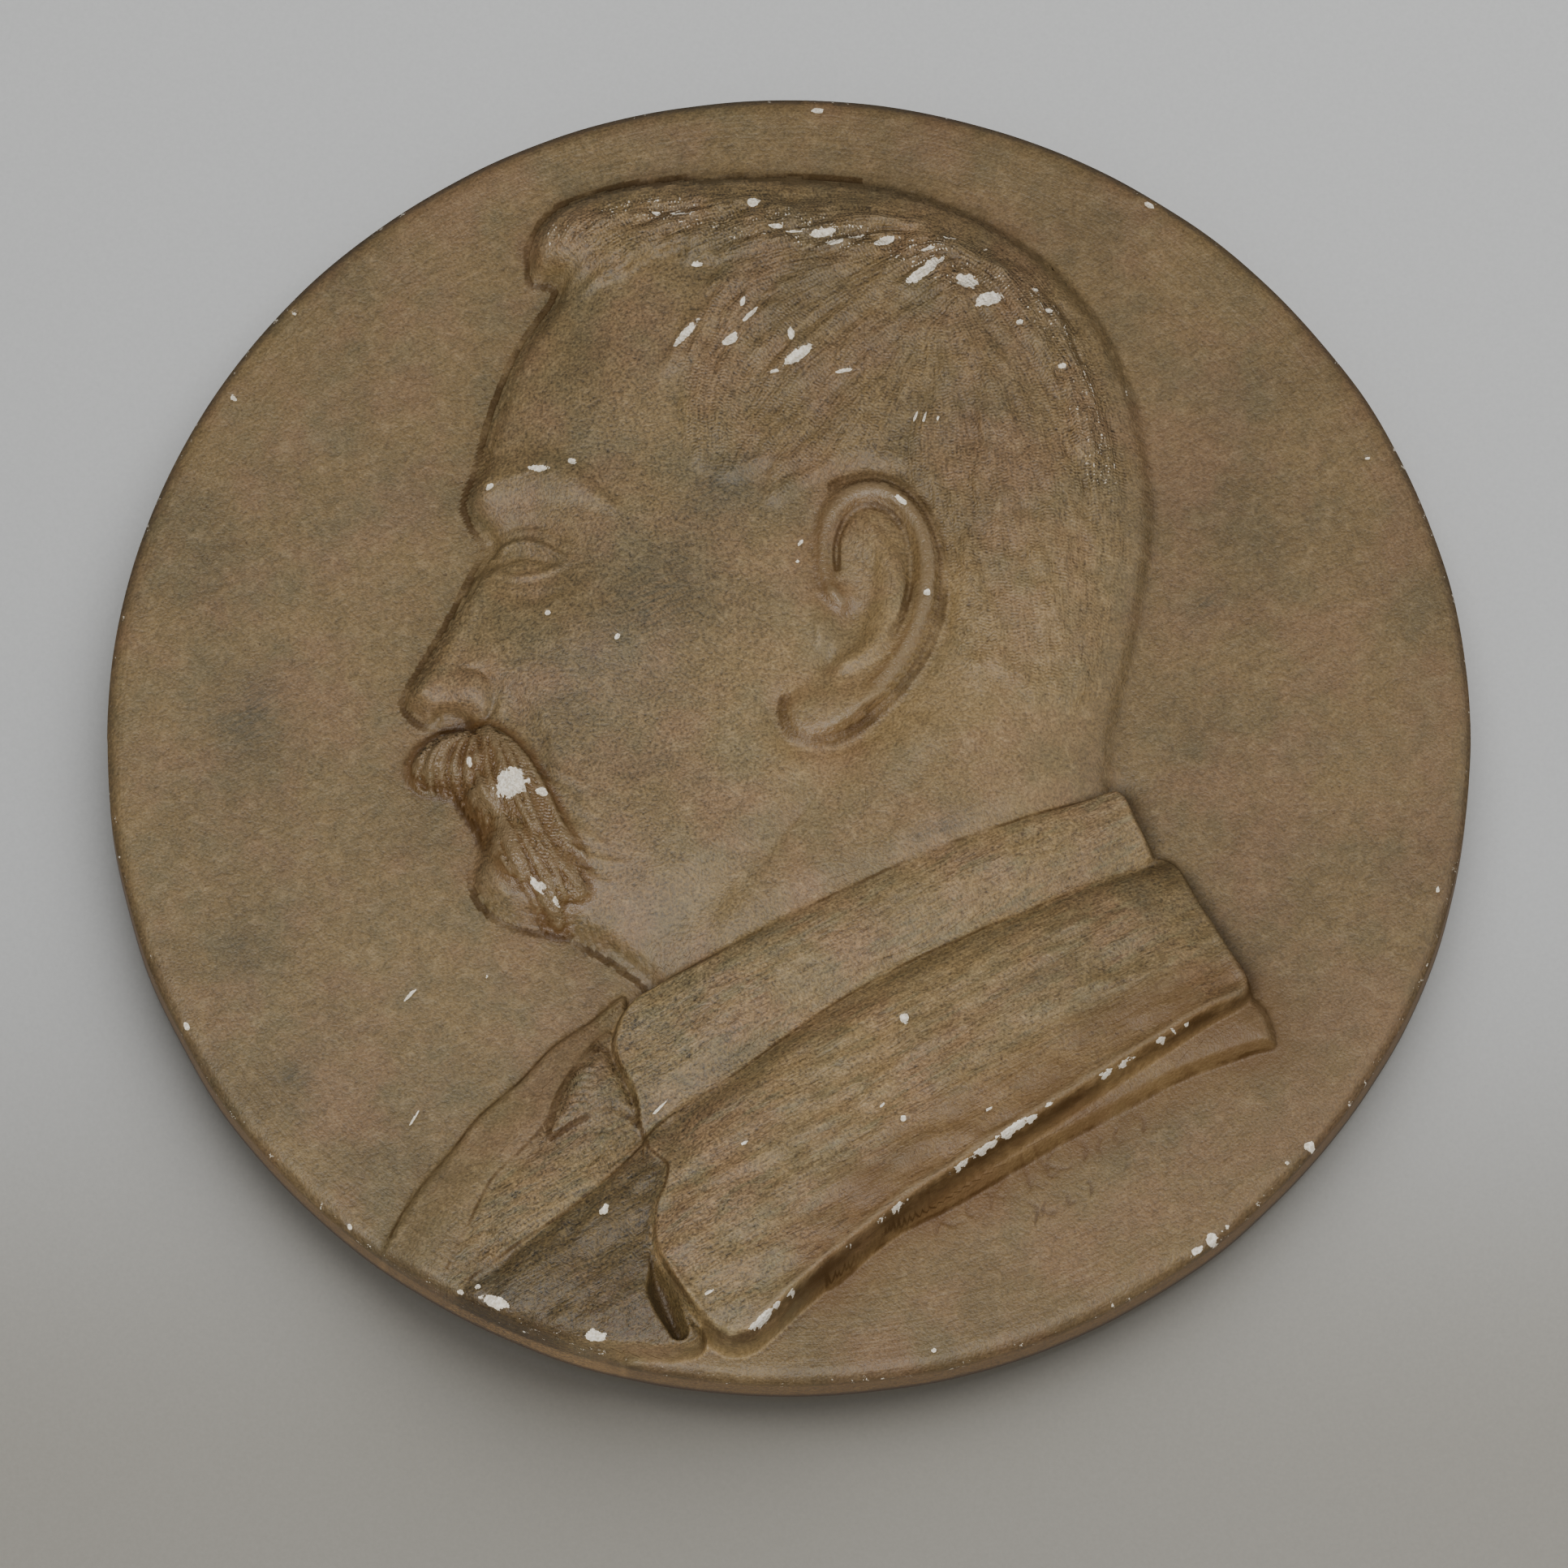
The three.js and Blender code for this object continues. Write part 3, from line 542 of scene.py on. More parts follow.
def carve_moustache(m):
    """The moustache's mass, its strands, the tufts at its bottom and its wisps; gives its edge."""
    edge = m.edge(MOUSTACHE, 8)
    soft = smooth((m.x + 74) / 14) * smooth((m.z + 46) / 12)
    mass = swell((edge + 0.4) / (4.5 + 8 * soft)) * (1 - 0.35 * soft)
    m.h += 3.4 * mass
    foot = GROUND + MOUSTACHE_RISE * swell((edge + 0.4) / 5.5) * (1 - soft) * (edge > -0.4)
    m.h = np.maximum(m.h, foot)
    first, last = line(FRONT_STRAND, steps=4), line(BACK_STRAND, steps=4)
    curls = np.zeros(m.x.shape)
    for k in range(MOUSTACHE_STRANDS):
        t = k / (MOUSTACHE_STRANDS - 1)
        path = first * (1 - t) ** 1.2 + last * (1 - (1 - t) ** 1.2)
        path[:, 0] += 0.5 * math.sin(2.1 * k) * np.sin(np.linspace(0, 5, len(path)))
        on, add = m.strip(path, 1.6, 1.9 + 0.5 * math.sin(1.7 * k), (0.5, 0.4), 1.0)
        curls[on] = np.maximum(curls[on], add)
    for k, (start, end) in enumerate(TUFTS):
        start, end = np.array(start, float), np.array(end, float)
        way = end - start
        out = np.array([-way[1], way[0]]) / np.hypot(*way)
        for side in (-1.6, 0.2, 1.7):
            bend = 1.6 * math.sin(2.4 * k + side) + side * 0.6
            path = line([
                start + out * side, start + way * 0.35 + out * (side - bend),
                start + way * 0.7 + out * (side * 0.7 - bend), end + out * side * 0.25,
            ])
            on, add = m.strip(path, 1.35, 2.3 - 0.3 * abs(side), (0.2, 0.3), 1.0)
            curls[on] = np.maximum(curls[on], add)
    m.h += curls * smooth((edge + 1.5) / 2.5)
    for path in WISPS:
        m.ridge(path, 1.3, 0.6, (0.5, 0.1), 1.0)
    return edge


def drawn(seam, edge):
    """The outlines so far, hidden where a new layer lies over them, and the new layer's own."""
    seam = np.where(edge > 0.9, SEAM_NONE, seam)
    return np.where(np.abs(edge) < np.abs(seam), edge, seam)


COAT_RIGHT = line([(100, -34), (108, -47), (115, -59), (121, -71)])
COAT_LEFT = line([(-31, -112), (-33.9, -130), (-36, -142), (-30, -158), (-22, -168)])
GAP = [(-36, -147), (-34, -154), (-31.2, -161), (-28.6, -166.5)]
GAP_DEPTH = 7.5
KNOT_RIBS = 7
TIE_FOLDS = 9


def carve_dress(m, seam):
    """Tie, lapel, collar and coat, and the brush marks on them."""
    x, z = m.x, m.z
    tie = m.edge(TIE)
    m.lay(GROUND + TIE_RISE + 1.6 * smooth(tie / 12), tie, 1.6)
    knot = m.edge(KNOT, 6)
    m.h += 1.5 * swell((knot + 0.5) / 4)
    for k in range(KNOT_RIBS):
        a = np.array([-56.6 - 0.6 * k, -94.6 - 2.0 * k])
        m.ridge([a, a + (2.8, 1.2), a + (6.5, 1.4)], 1.1, 1.3, (0.5, 0.3))
    for k in range(TIE_FOLDS):
        a = np.array([-38.0 - 2.6 * k, -112.8 + 0.4 * k])
        end = a + (-44 + 2 * k, -37 + 1.2 * k)
        m.ridge([a, (a * 2 + end) / 3 + (0.8, -0.6), end], 1.7, 1.6 - 0.1 * k, (0.4, 0.3))
    lapel = m.edge(LAPEL)
    swelling = 2.8 * swell(lapel / 10) + 2.6 * smooth((x + 95) / 50)
    m.lay(GROUND + LAPEL_RISE + swelling, lapel, 1.6)
    neck = nearest(x, z, COLLAR_TOP)[0]
    m.h -= 1.4 * np.exp(-((neck / 5) ** 2)) * smooth((x + 44) / 10)
    collar = m.edge(COLLAR)
    coat_line = nearest(x, z, COAT_TOP)[0]
    roll = 2.0 * swell(neck / 9) - 3.4 * np.exp(-((coat_line / 7) ** 2))
    ends = 3.6 * smooth((x - 45) / 55) + 4.4 * smooth((-12 - x) / 28)
    m.lay(GROUND + COLLAR_RISE + roll - ends, collar, 1.8)
    coat = m.edge(COAT)
    fall = 3.6 * swell(coat_line / 11) + 4.2 * swell(coat_line / 48)
    ends = 3.6 * smooth((x - 45) / 75) + 4.2 * np.exp(-((nearest(x, z, COAT_RIGHT)[0] / 10) ** 1.5))
    left = 4.0 * np.exp(-nearest(x, z, COAT_LEFT)[0] / 12) * smooth((x + 60) / 30)
    m.lay(GROUND + COAT_RISE + fall - ends - left, coat, 1.6, 1.0)
    m.ridge([(-28.3, -113), (-31.5, -122), (-34.2, -131), (-37, -141)], 2.4, 1.1, (0.2, 0.4))
    m.ridge(GAP, 4.0, -GAP_DEPTH, (0.12, 0.7), 1.2)
    m.ridge([(-31.5, -149), (-25.5, -159), (-19.5, -168)], 2.4, 1.2, (0.5, 0.6))
    lip = np.exp(-(((coat - 1.6) / 1.5) ** 2)) * smooth((-84 - z + 0.3 * x) / 10)
    m.h += 0.9 * lip * smooth((x + 12) / 10)
    cloth = np.maximum(np.maximum(coat, collar), np.maximum(lapel, tie))
    on = np.where(cloth > 0)[0]
    along = straight(29)
    rough = smooth(cloth[on] / 2.5)
    m.h[on] += rough * 0.16 * streaks(x[on], z[on], 2.0, 12, 31, along)
    m.h[on] += rough * 0.28 * noise(x[on] / 9, z[on] / 9, 33)
    m.h[on] += rough * 0.12 * noise(x[on] / 3, z[on] / 3, 34)
    heavy = smooth(np.maximum(coat, lapel)[on] / 4)
    m.h[on] += heavy * 0.22 * streaks(x[on], z[on], 4, 9, 32, along)
    lumpy = smooth(lapel[on] / 2) * smooth((-1 - coat[on]) / 3) * smooth((-1 - collar[on]) / 3)
    lumps = 0.4 * noise(x[on] / 5, z[on] / 5, 36)
    m.h[on] += lumpy * (lumps + 0.3 * streaks(x[on], z[on], 3, 12, 37, straight(52)))
    for edge in (tie, knot, lapel, collar, coat):
        seam = drawn(seam, edge)
    # Painted shade: the lapel, a band below the coat's top line and the coat's right end are
    # darkened
    shadow = smooth(lapel / 2) * smooth(-coat / 2) * smooth(-collar / 2)
    shadow += 0.7 * smooth(coat / 1.5) * np.exp(-((coat_line / 6) ** 2))
    shadow += 0.6 * smooth(coat / 1.5) * np.exp(-((nearest(x, z, COAT_RIGHT)[0] / 9) ** 2))
    # Painted shade that darkens the deep slot between the lapel and the coat
    gap = np.exp(-((nearest(x, z, line(GAP))[0] / 2.4) ** 2))
    return cloth, seam, shadow, gap


# A sloping row of shallow strokes at the lower right, and a short one under it
STROKE_ROWS = [((38, -137), (97, -106), 12, 8.5), ((64, -134), (84, -123), 4, 7.5)]
STROKE_WIDTH = 0.7
STROKE_DEPTH = 0.5


def carve_strokes(m):
    """Rows of shallow strokes, no letters, each a slanted tick or a small hook."""
    depth = np.zeros(m.x.shape)
    for start, end, count, tall in STROKE_ROWS:
        start, end = np.array(start, float), np.array(end, float)
        along = (end - start) / np.hypot(*(end - start))
        up = np.array([-along[1], along[0]])
        for k in range(count):
            a = start + (end - start) * k / count
            size = tall * (0.4 + 0.6 * math.sin(2.7 * k + 1) ** 2)
            lean = along * size * (0.3 + 0.2 * math.sin(5 * k))
            bow = along * size * 0.5 * math.cos(2.3 * k)
            foot = along * size * (0.35 + 0.3 * math.sin(1.3 * k))
            top, middle = a + lean + up * size, a + bow + up * size * 0.5
            path = line([top, middle, a + foot * 0.3, a + foot + up * size * 0.2])
            on, add = m.strip(path, STROKE_WIDTH, STROKE_DEPTH, (0.7, 0.3), 1.0)
            depth[on] = np.maximum(depth[on], add)
    return depth


FIGURE_DROP = 2.2  # how much lower on the disc the bust lies than its outlines say


def carve(x, z):
    """The front's height and the parts of it that take a finish of their own."""
    m = Relief(x, z + FIGURE_DROP)
    r = np.hypot(x, z)
    m.h += GROUND - 0.4 + 0.6 * smooth((r - 120) / 60)
    m.h += 0.3 * noise(x / 42, z / 42, 1) + 0.14 * noise(x / 13, z / 13, 2)
    parts = {}
    back = m.edge(COAT_BACK)
    m.lay(GROUND + BACK_RISE + 1.6 * swell(back / 9), back, 3.0)
    shirt = m.edge(SHIRT)
    m.lay(GROUND + SHIRT_RISE + 2.6 * smooth(shirt / 14), shirt, 2.0)
    head = m.edge(HEAD, 14)
    m.h -= 0.3 * np.exp(-(((head + 6) / 4.5) ** 2)) * (head > -14)
    behind = smooth((m.x - 45) / 30)
    rise = HEAD_RISE + HEAD_DOME * swell(m.depth(HEAD, head) / DOME_REACH)
    rise -= BACK_OF_HEAD_DROP * behind * (1 - smooth(head / 26))
    m.lay(GROUND + rise, head, 6.0 - behind)
    carve_face(m, head)
    parts["hair"] = carve_hair(m, head)
    parts["ear"], ear_lines, parts["ear_roll"] = carve_ear(m)
    parts["moustache"] = carve_moustache(m)
    seam = drawn(drawn(np.full(x.shape, -SEAM_NONE), back), shirt)
    seam = np.where(m.x < 20, drawn(seam, head), seam)
    seam = np.where(parts["moustache"] > 0.9, SEAM_NONE, seam)
    parts["cloth"], seam, parts["shadow"], parts["gap"] = carve_dress(m, seam)
    parts["strokes"] = carve_strokes(m)
    m.h -= 0.45 * parts["strokes"]
    parts["head"] = head
    parts["under"] = np.exp(-((np.minimum(back, 0) / 9) ** 2)) * smooth((m.x + 12) / 14)
    seam = np.where(r > RADIUS - RIM_CLEAR, SEAM_NONE * np.sign(seam), seam)
    parts["seam"] = np.where(ear_lines < np.abs(seam), ear_lines, seam)
    m.h -= RIM_DROP * (1 - rounded((RADIUS - r) / RIM_WIDTH))
    return m.h, parts


# Chips, where the glaze is off and the white plaster shows: place, half length, half width, angle
CHIPS = [
    (-73, -16, 5.0, 4.2, 20), (-65, -18.5, 1.8, 1.3, -20), (-66, -44, 3.4, 1.6, -40),
    (-60, -49, 2.6, 1.3, -45), (-84, -9, 0.8, 1.8, 10), (-6.5, -165.8, 5.6, 1.5, 41),
    (-3, -161.8, 1.4, 0.6, 40), (1.1, -158.6, 1.9, 0.7, 36), (5, -155.6, 1.5, 0.6, 38),
    (10.1, -151.2, 2.6, 1.0, 38), (13.6, -148.4, 1.0, 0.6, 30), (16.6, -145.2, 2.2, 0.6, 36),
    (19.6, -143, 0.9, 0.7, 30), (24.6, -138.6, 2.6, 0.8, 37), (28.6, -135.4, 3.6, 1.0, 37),
    (33, -132.4, 1.4, 0.5, 35), (39, -128.4, 2.6, 0.5, 36), (44.5, -124.2, 4.2, 0.8, 37),
    (51.5, -119, 5.0, 0.9, 35), (58.6, -113.8, 5.4, 1.3, 34), (63.8, -110.6, 2.2, 0.8, 30),
    (68, -106.9, 1.4, 0.5, 30), (83.6, -97.7, 3.2, 0.9, 28), (88.6, -94.7, 4.2, 1.2, 32),
    (97.8, -88.1, 1.8, 0.9, 30), (101.3, -85.6, 1.7, 0.5, -25), (104.4, -83.4, 0.9, 0.4, 30),
    (110.6, -79.8, 0.8, 0.4, 20), (-34.8, 144.7, 1.8, 0.9, -15), (-29, 144.2, 4.0, 0.5, 0),
    (-9.4, 147.6, 2.0, 1.5, 20), (-3.2, 140, 2.4, 0.8, -5), (1.5, 138.5, 2.6, 0.4, 0),
    (8.8, 138.3, 3.8, 1.4, 10), (12, 135.5, 2.6, 1.0, 5), (18.2, 137.8, 2.8, 0.9, 15),
    (25.4, 136.5, 3.2, 1.2, 25), (37, 134, 2.6, 0.6, 15), (36.1, 127.8, 7.2, 1.6, 41),
    (47.2, 125, 3.3, 2.3, -20), (53.1, 119.9, 4.0, 2.1, 20), (65.5, 123.7, 1.2, 0.8, 0),
    (70.4, 121.8, 1.8, 0.9, -40), (69, 117.5, 1.3, 0.8, 0), (43, 137.8, 2.4, 0.4, 0),
    (52.2, 135.4, 1.2, 0.6, 30), (62, 133.5, 1.4, 0.6, 0), (-27.3, 109.6, 5.2, 1.2, 50),
    (-12.1, 118.6, 1.6, 0.8, 70), (-10.3, 114.8, 3.0, 0.8, 45), (-15.3, 108, 2.6, 1.5, 30),
    (-24.2, 129.9, 1.7, 0.8, 0), (0.7, 109.6, 1.0, 2.1, 0), (2.5, 103.5, 4.8, 1.7, 35),
    (-3.5, 99, 1.6, 0.6, 10), (14.7, 99.2, 3.0, 0.6, 15), (33.5, 86.4, 1.8, 0.4, 70),
    (36, 86.4, 1.9, 0.4, 75), (39.5, 86, 1.2, 0.4, 70), (89.6, 97.3, 0.6, 1.6, 0),
    (72.3, 101.6, 1.4, 0.8, 0), (61.1, 113.3, 1.0, 0.8, 0), (-66, 72.5, 3.0, 1.0, -5),
    (-57, 74.5, 1.4, 1.1, 0), (-79, 68.5, 1.6, 0.8, 30), (29.5, 62, 2.4, 0.8, -40),
    (36.5, 36, 1.1, 1.1, 0), (3, 51, 1.2, 0.5, 50), (2.4, 46, 0.6, 0.6, 0),
    (-63.5, 32, 0.9, 1.1, 0), (-45, 24.5, 0.7, 1.2, -30), (30.4, -82.3, 1.4, 1.8, 0),
    (-48.3, -133.5, 1.2, 2.0, -30), (-33.9, -104.3, 3.4, 0.4, 45), (-99.5, -70.3, 2.6, 0.5, 48),
    (-98.3, -104.5, 3.2, 0.35, 60), (-79.3, -65, 0.4, 0.6, 0), (-11.5, -116.5, 1.3, 0.5, 30),
    (-20.7, -158, 1.6, 0.5, 30), (30, -110.8, 0.9, 1.0, 0), (24.3, -107, 1.2, 0.4, 40),
    (52.5, -108.1, 1.6, 0.4, 30), (91.5, 98, 0.6, 1.8, -10), (137, -112.5, 1.6, 1.6, 30),
    (111, -138, 1.7, 1.7, 40), (107, -141, 2.2, 0.9, 35), (131, -117.2, 0.7, 0.7, 45),
    (115, -134.5, 0.7, 0.7, 0), (38, -168.7, 0.8, 0.8, 0), (96, 151.5, 1.8, 0.8, -30),
    (-77, -158.2, 4.6, 1.8, -25), (-50.3, -167.8, 3.4, 1.5, -5), (-86, -154.6, 1.2, 0.7, -30),
    (-81.5, -153.5, 0.9, 1.0, 0), (-115, -134.5, 1.0, 0.7, -50), (-158.5, -79, 0.8, 1.4, 20),
    (8, 178.3, 2.0, 0.8, 0), (153, 80, 0.9, 0.5, 0), (171, -41, 0.6, 1.2, 0),
    (-147, 97, 0.7, 1.3, 30), (-131, 121, 0.6, 1.0, 40),
]

# Dull smudges, as place, half length, half width and angle of each
SMUDGES = [
    (65.7, -70.5, 8, 3, 28), (27.7, -122.7, 7, 2.4, 30), (-130, -93, 5, 4, 0),
    (-130, -102, 4, 1.5, 0), (-144, -59, 4, 6, 15), (61, -48.6, 3, 2, 10),
    (111, 39.5, 6, 3.5, 20), (-18, 67, 9, 6, 30), (-36, 35, 17, 12, 35), (-143, 8, 11, 14, 0),
    (-6, -58, 9, 2, 28), (40, -28, 12, 3, 25), (-14, -92, 8, 2.5, 32), (93, -48, 8, 3, -60),
    (118, -75, 5, 2.5, -30), (-78, -152, 12, 4, -40),
]


def smudge_field(x, z):
    """1 in the middle of a smudge, fading to 0 round it."""
    total = np.zeros(x.shape)
    for at_x, at_z, long, wide, angle in SMUDGES:
        c, s = math.cos(math.radians(angle)), math.sin(math.radians(angle))
        dx, dz = x - at_x, z - at_z
        total += np.exp(-(((dx * c + dz * s) / long) ** 2) - ((dz * c - dx * s) / wide) ** 2)
    return np.minimum(total, 1)


def chip_field(x, z):
    """1 in the middle of a chip, 0 at its outline and down to -1 away from it."""
    best = np.full(x.shape, -1.0)
    for at_x, at_z, long, wide, angle in CHIPS:
        reach = long + wide + 5
        near = np.where((np.abs(x - at_x) < reach) & (np.abs(z - at_z) < reach))[0]
        c, s = math.cos(math.radians(angle)), math.sin(math.radians(angle))
        dx, dz = x[near] - at_x, z[near] - at_z
        u, v = (dx * c + dz * s) / long, (dz * c - dx * s) / wide
        best[near] = np.maximum(best[near], np.maximum(1 - np.hypot(u, v), -1))
    return best


# The height map, and what is measured on it

MAP_PITCH = 1.2
MAP_REACH = math.ceil(RADIUS / MAP_PITCH) + 2


def blurred(grid, width):
    """The grid's heights smoothed over a width in millimetres."""
    width /= MAP_PITCH
    steps = range(-math.ceil(3 * width), math.ceil(3 * width) + 1)
    shares = [math.exp(-0.5 * (k / width) ** 2) for k in steps]
    for axis in (0, 1):
        grid = sum(share * np.roll(grid, k, axis) for k, share in zip(steps, shares)) / sum(shares)
    return grid


def highest(grid, reach):
    """The highest of the grid's heights round each place, up to a reach in millimetres."""
    steps = range(-round(reach / MAP_PITCH), round(reach / MAP_PITCH) + 1)
    for axis in (0, 1):
        grid = np.max([np.roll(grid, k, axis) for k in steps], axis=0)
    return grid


def sampled(grid, x, z):
    """The grid's values at any places."""
    u, v = x / MAP_PITCH + MAP_REACH, z / MAP_PITCH + MAP_REACH
    i, j = np.floor(u).astype(int), np.floor(v).astype(int)
    u, v = u - i, v - j
    low = grid[j, i] * (1 - u) + grid[j, i + 1] * u
    high = grid[j + 1, i] * (1 - u) + grid[j + 1, i + 1] * u
    return low * (1 - v) + high * v


def height_map():
    side = np.arange(-MAP_REACH, MAP_REACH + 1) * MAP_PITCH
    x, z = np.meshgrid(side, side)
    h, _ = carve(x.ravel(), z.ravel())
    return h.reshape(x.shape)


# The casting as a mesh

ALWAYS_SPLIT = 1e3  # a bend that no place reaches
CHIP_DEPTH = 0.4
MOST_TRIANGLES = 200000


def disc_place(u, v):
    """Bends the rings of a square from -1 to 1 into circles of the disc."""
    reach = np.maximum(np.abs(u), np.abs(v))
    wide = np.abs(u) > np.abs(v)
    big, small = np.where(wide, u, v), np.where(wide, v, u)
    turn = math.pi / 4 * small / np.where(big == 0, 1, big)
    along = np.sign(big) * reach * RADIUS * np.cos(turn)
    across = np.sign(big) * reach * RADIUS * np.sin(turn)
    return np.where(wide, along, across), np.where(wide, across, along)


def near_details(x, z, margin):
    """Whether a place is on a chip or a stroke, which need a fine mesh on the plain ground too."""
    near = np.zeros(x.shape, bool)
    z = z + FIGURE_DROP
    for at_x, at_z, long, _, _ in CHIPS:
        near |= np.hypot(x - at_x, z - at_z) < long + margin
    for start, end, _, tall in STROKE_ROWS:
        near |= nearest(x, z, np.array([start, end], float))[0] < tall + margin
    return near


def face_middles(bm):
    """X and Z of each face's middle."""
    bm.faces.ensure_lookup_table()
    middles = np.array([face.calc_center_median()[:] for face in bm.faces])
    return middles[:, 0], middles[:, 2]


def split_faces(bm, chosen):
    """Splits the chosen faces in four."""
    edges = dict.fromkeys(edge for i in np.where(chosen)[0] for edge in bm.faces[i].edges)
    bmesh.ops.subdivide_edges(bm, edges=list(edges), cuts=1, use_grid_fill=True)


def bust_edge(path, x, z, reach=12.0):
    """How far inside one of the bust's outlines places on the disc are."""
    return Relief(x, z + FIGURE_DROP).edge(path, reach)


def blank_front(heights, steps, finest):
    """The front's flat mesh, finer under the bust and finest where the carving bends most."""
    bm = bmesh.new()
    bmesh.ops.create_grid(bm, x_segments=steps, y_segments=steps, size=1)
    square = np.array([v.co[:] for v in bm.verts])
    x, z = disc_place(square[:, 0], square[:, 1])
    for v, place in zip(bm.verts, zip(x, np.zeros(x.shape), z)):
        v.co = place

    x, z = face_middles(bm)
    shapes = (HEAD, SHIRT, LAPEL, COLLAR, COAT, COAT_BACK, MOUSTACHE)
    inside = np.max([bust_edge(path, x, z, 6) for path in shapes], axis=0)
    split_faces(bm, (inside > -4) | near_details(x, z, 2.5))

    x, z = face_middles(bm)
    bend = sampled(np.abs(heights - blurred(heights, 1.2)), x, z)
    sharp = near_details(x, z, 1) | (bust_edge(KNOT, x, z) > -1)
    sharp |= np.abs(bust_edge(EAR, x, z)) < 2.5
    sharp |= nearest(x, z + FIGURE_DROP, THROAT)[0] < 4
    sharp |= nearest(x, z + FIGURE_DROP, HEAD[:PROFILE_STEPS])[0] < 2.5
    bend[sharp] = ALWAYS_SPLIT
    split_faces(bm, bend > np.sort(bend)[-finest])
    return bm


# Height over the back and distance in from the rim, for each ring down the side
SIDE_RINGS = ((9.0, 0), (5.0, 0), (1.6, 0), (0.5, 0.5), (0, 1.6))


def close_back(bm):
    """Takes the rim to the back in rings with a rounded back edge, and fills the back."""
    rim = [edge for edge in bm.edges if edge.is_boundary]
    last = 0
    for height, inward in SIDE_RINGS:
        made = bmesh.ops.extrude_edge_only(bm, edges=rim)["geom"]
        for v in made:
            if isinstance(v, bmesh.types.BMVert):
                v.co.y = -height
                v.co.x *= 1 - (inward - last) / RADIUS
                v.co.z *= 1 - (inward - last) / RADIUS
        last = inward
        rim = [edge for edge in made if isinstance(edge, bmesh.types.BMEdge) and edge.is_boundary]
    back = bmesh.ops.edgeloop_fill(bm, edges=rim)["faces"]
    bmesh.ops.poke(bm, faces=back)
    bmesh.ops.recalc_face_normals(bm, faces=bm.faces)


def cast_mesh(sizes):
    """The whole casting, with the measures that its glaze reads at every vertex."""
    heights = height_map()
    bm = blank_front(heights, sizes.grid_steps, sizes.finest_faces)
    places = np.array([v.co[:] for v in bm.verts])
    x, z = places[:, 0], places[:, 2]
    h, parts = carve(x, z)
    chip = chip_field(x, z + FIGURE_DROP)
    chip -= smooth((sampled(highest(heights, 3.6), x, z) - h - 1.8) / 3.5)
    near_mean, far_mean = (sampled(blurred(heights, width), x, z) for width in (1.8, 5.0))
    hollow = 0.7 * (near_mean - h) + 0.1 * (far_mean - h)
    slope = np.hypot(*np.gradient(heights, MAP_PITCH))
    steep = smooth((sampled(slope, x, z) - 0.6) / 1.2)
    steep = steep * (parts["hair"] < 0.1) * (parts["moustache"] < -4)
    # Painted shade in the slot between lapel and coat is added to the glaze pooled in the hollows
    hollow = hollow * (1 - 0.75 * steep) + 1.3 * parts["gap"]
    raised = smooth((h - GROUND - 2) / 8)
    gloss = np.maximum(smooth(parts["moustache"] / 2 + 1), parts["ear_roll"])
    # Lighter neck, collar and coat, and painted light on the steep wall under the coat's cut edge,
    # set against the shade that falls on it
    lighter_bust_and_painted_light = raised * smooth((x + 40) / 50) * smooth((85 - z) / 50)
    lighter_bust_and_painted_light += 1.6 * steep * smooth((-60 - z) / 20)
    crown = nearest(x, z + FIGURE_DROP, line(CROWN))[0]
    h = np.minimum(h - CHIP_DEPTH * smooth(chip * 2.5), DEPTH)
    way_x, way_z = brushed(x, z + FIGURE_DROP)
    measures = {
        "hollow": hollow * (0.35 + 1.3 * gloss + 0.4 * parts["hair"]) + 2.8 * parts["strokes"],
        "chip": chip,
        "hair": np.maximum(parts["hair"], 0.8 * smooth(parts["moustache"] / 2)),
        "cloth": smooth(parts["cloth"] / 2),
        "gloss": gloss,
        "under": parts["under"],
        "raised": raised,
        "lighter_bust_and_painted_light": lighter_bust_and_painted_light,
        "seam": parts["seam"],
        "shadow": parts["shadow"],
        "smudge": smudge_field(x, z + FIGURE_DROP),
        "fleck": np.exp(-((crown / 10) ** 2)) * (parts["head"] > 4),
        "turn_x": way_x * way_x - way_z * way_z,
        "turn_z": 2 * way_x * way_z,
    }
    layers = {name: bm.verts.layers.float.new(name) for name in measures}
    r = np.hypot(x, z)
    turn = np.arctan2(z, x)
    wavy = 1 - 0.25 / RADIUS * smooth((r - 170) / 10) * (1 + noise(turn * 9, r / 90, 4))
    for v, place in zip(bm.verts, zip(x * wavy, -h, z * wavy)):
        v.co = place
    for name, layer in layers.items():
        for v, value in zip(bm.verts, measures[name]):
            v[layer] = value
    close_back(bm)
    bmesh.ops.scale(bm, vec=(MM, MM, MM), verts=bm.verts)
    mesh = bpy.data.meshes.new("medallion_casting")
    bm.to_mesh(mesh)
    bm.free()
    mesh.shade_smooth()
    return mesh


# Materials


def srgb(*colour):
    """An sRGB colour from 0 to 255 as the linear colour that a shader takes."""
    return tuple(((c / 255 + 0.055) / 1.055) ** 2.4 if c > 10 else c / 255 / 12.92 for c in colour)


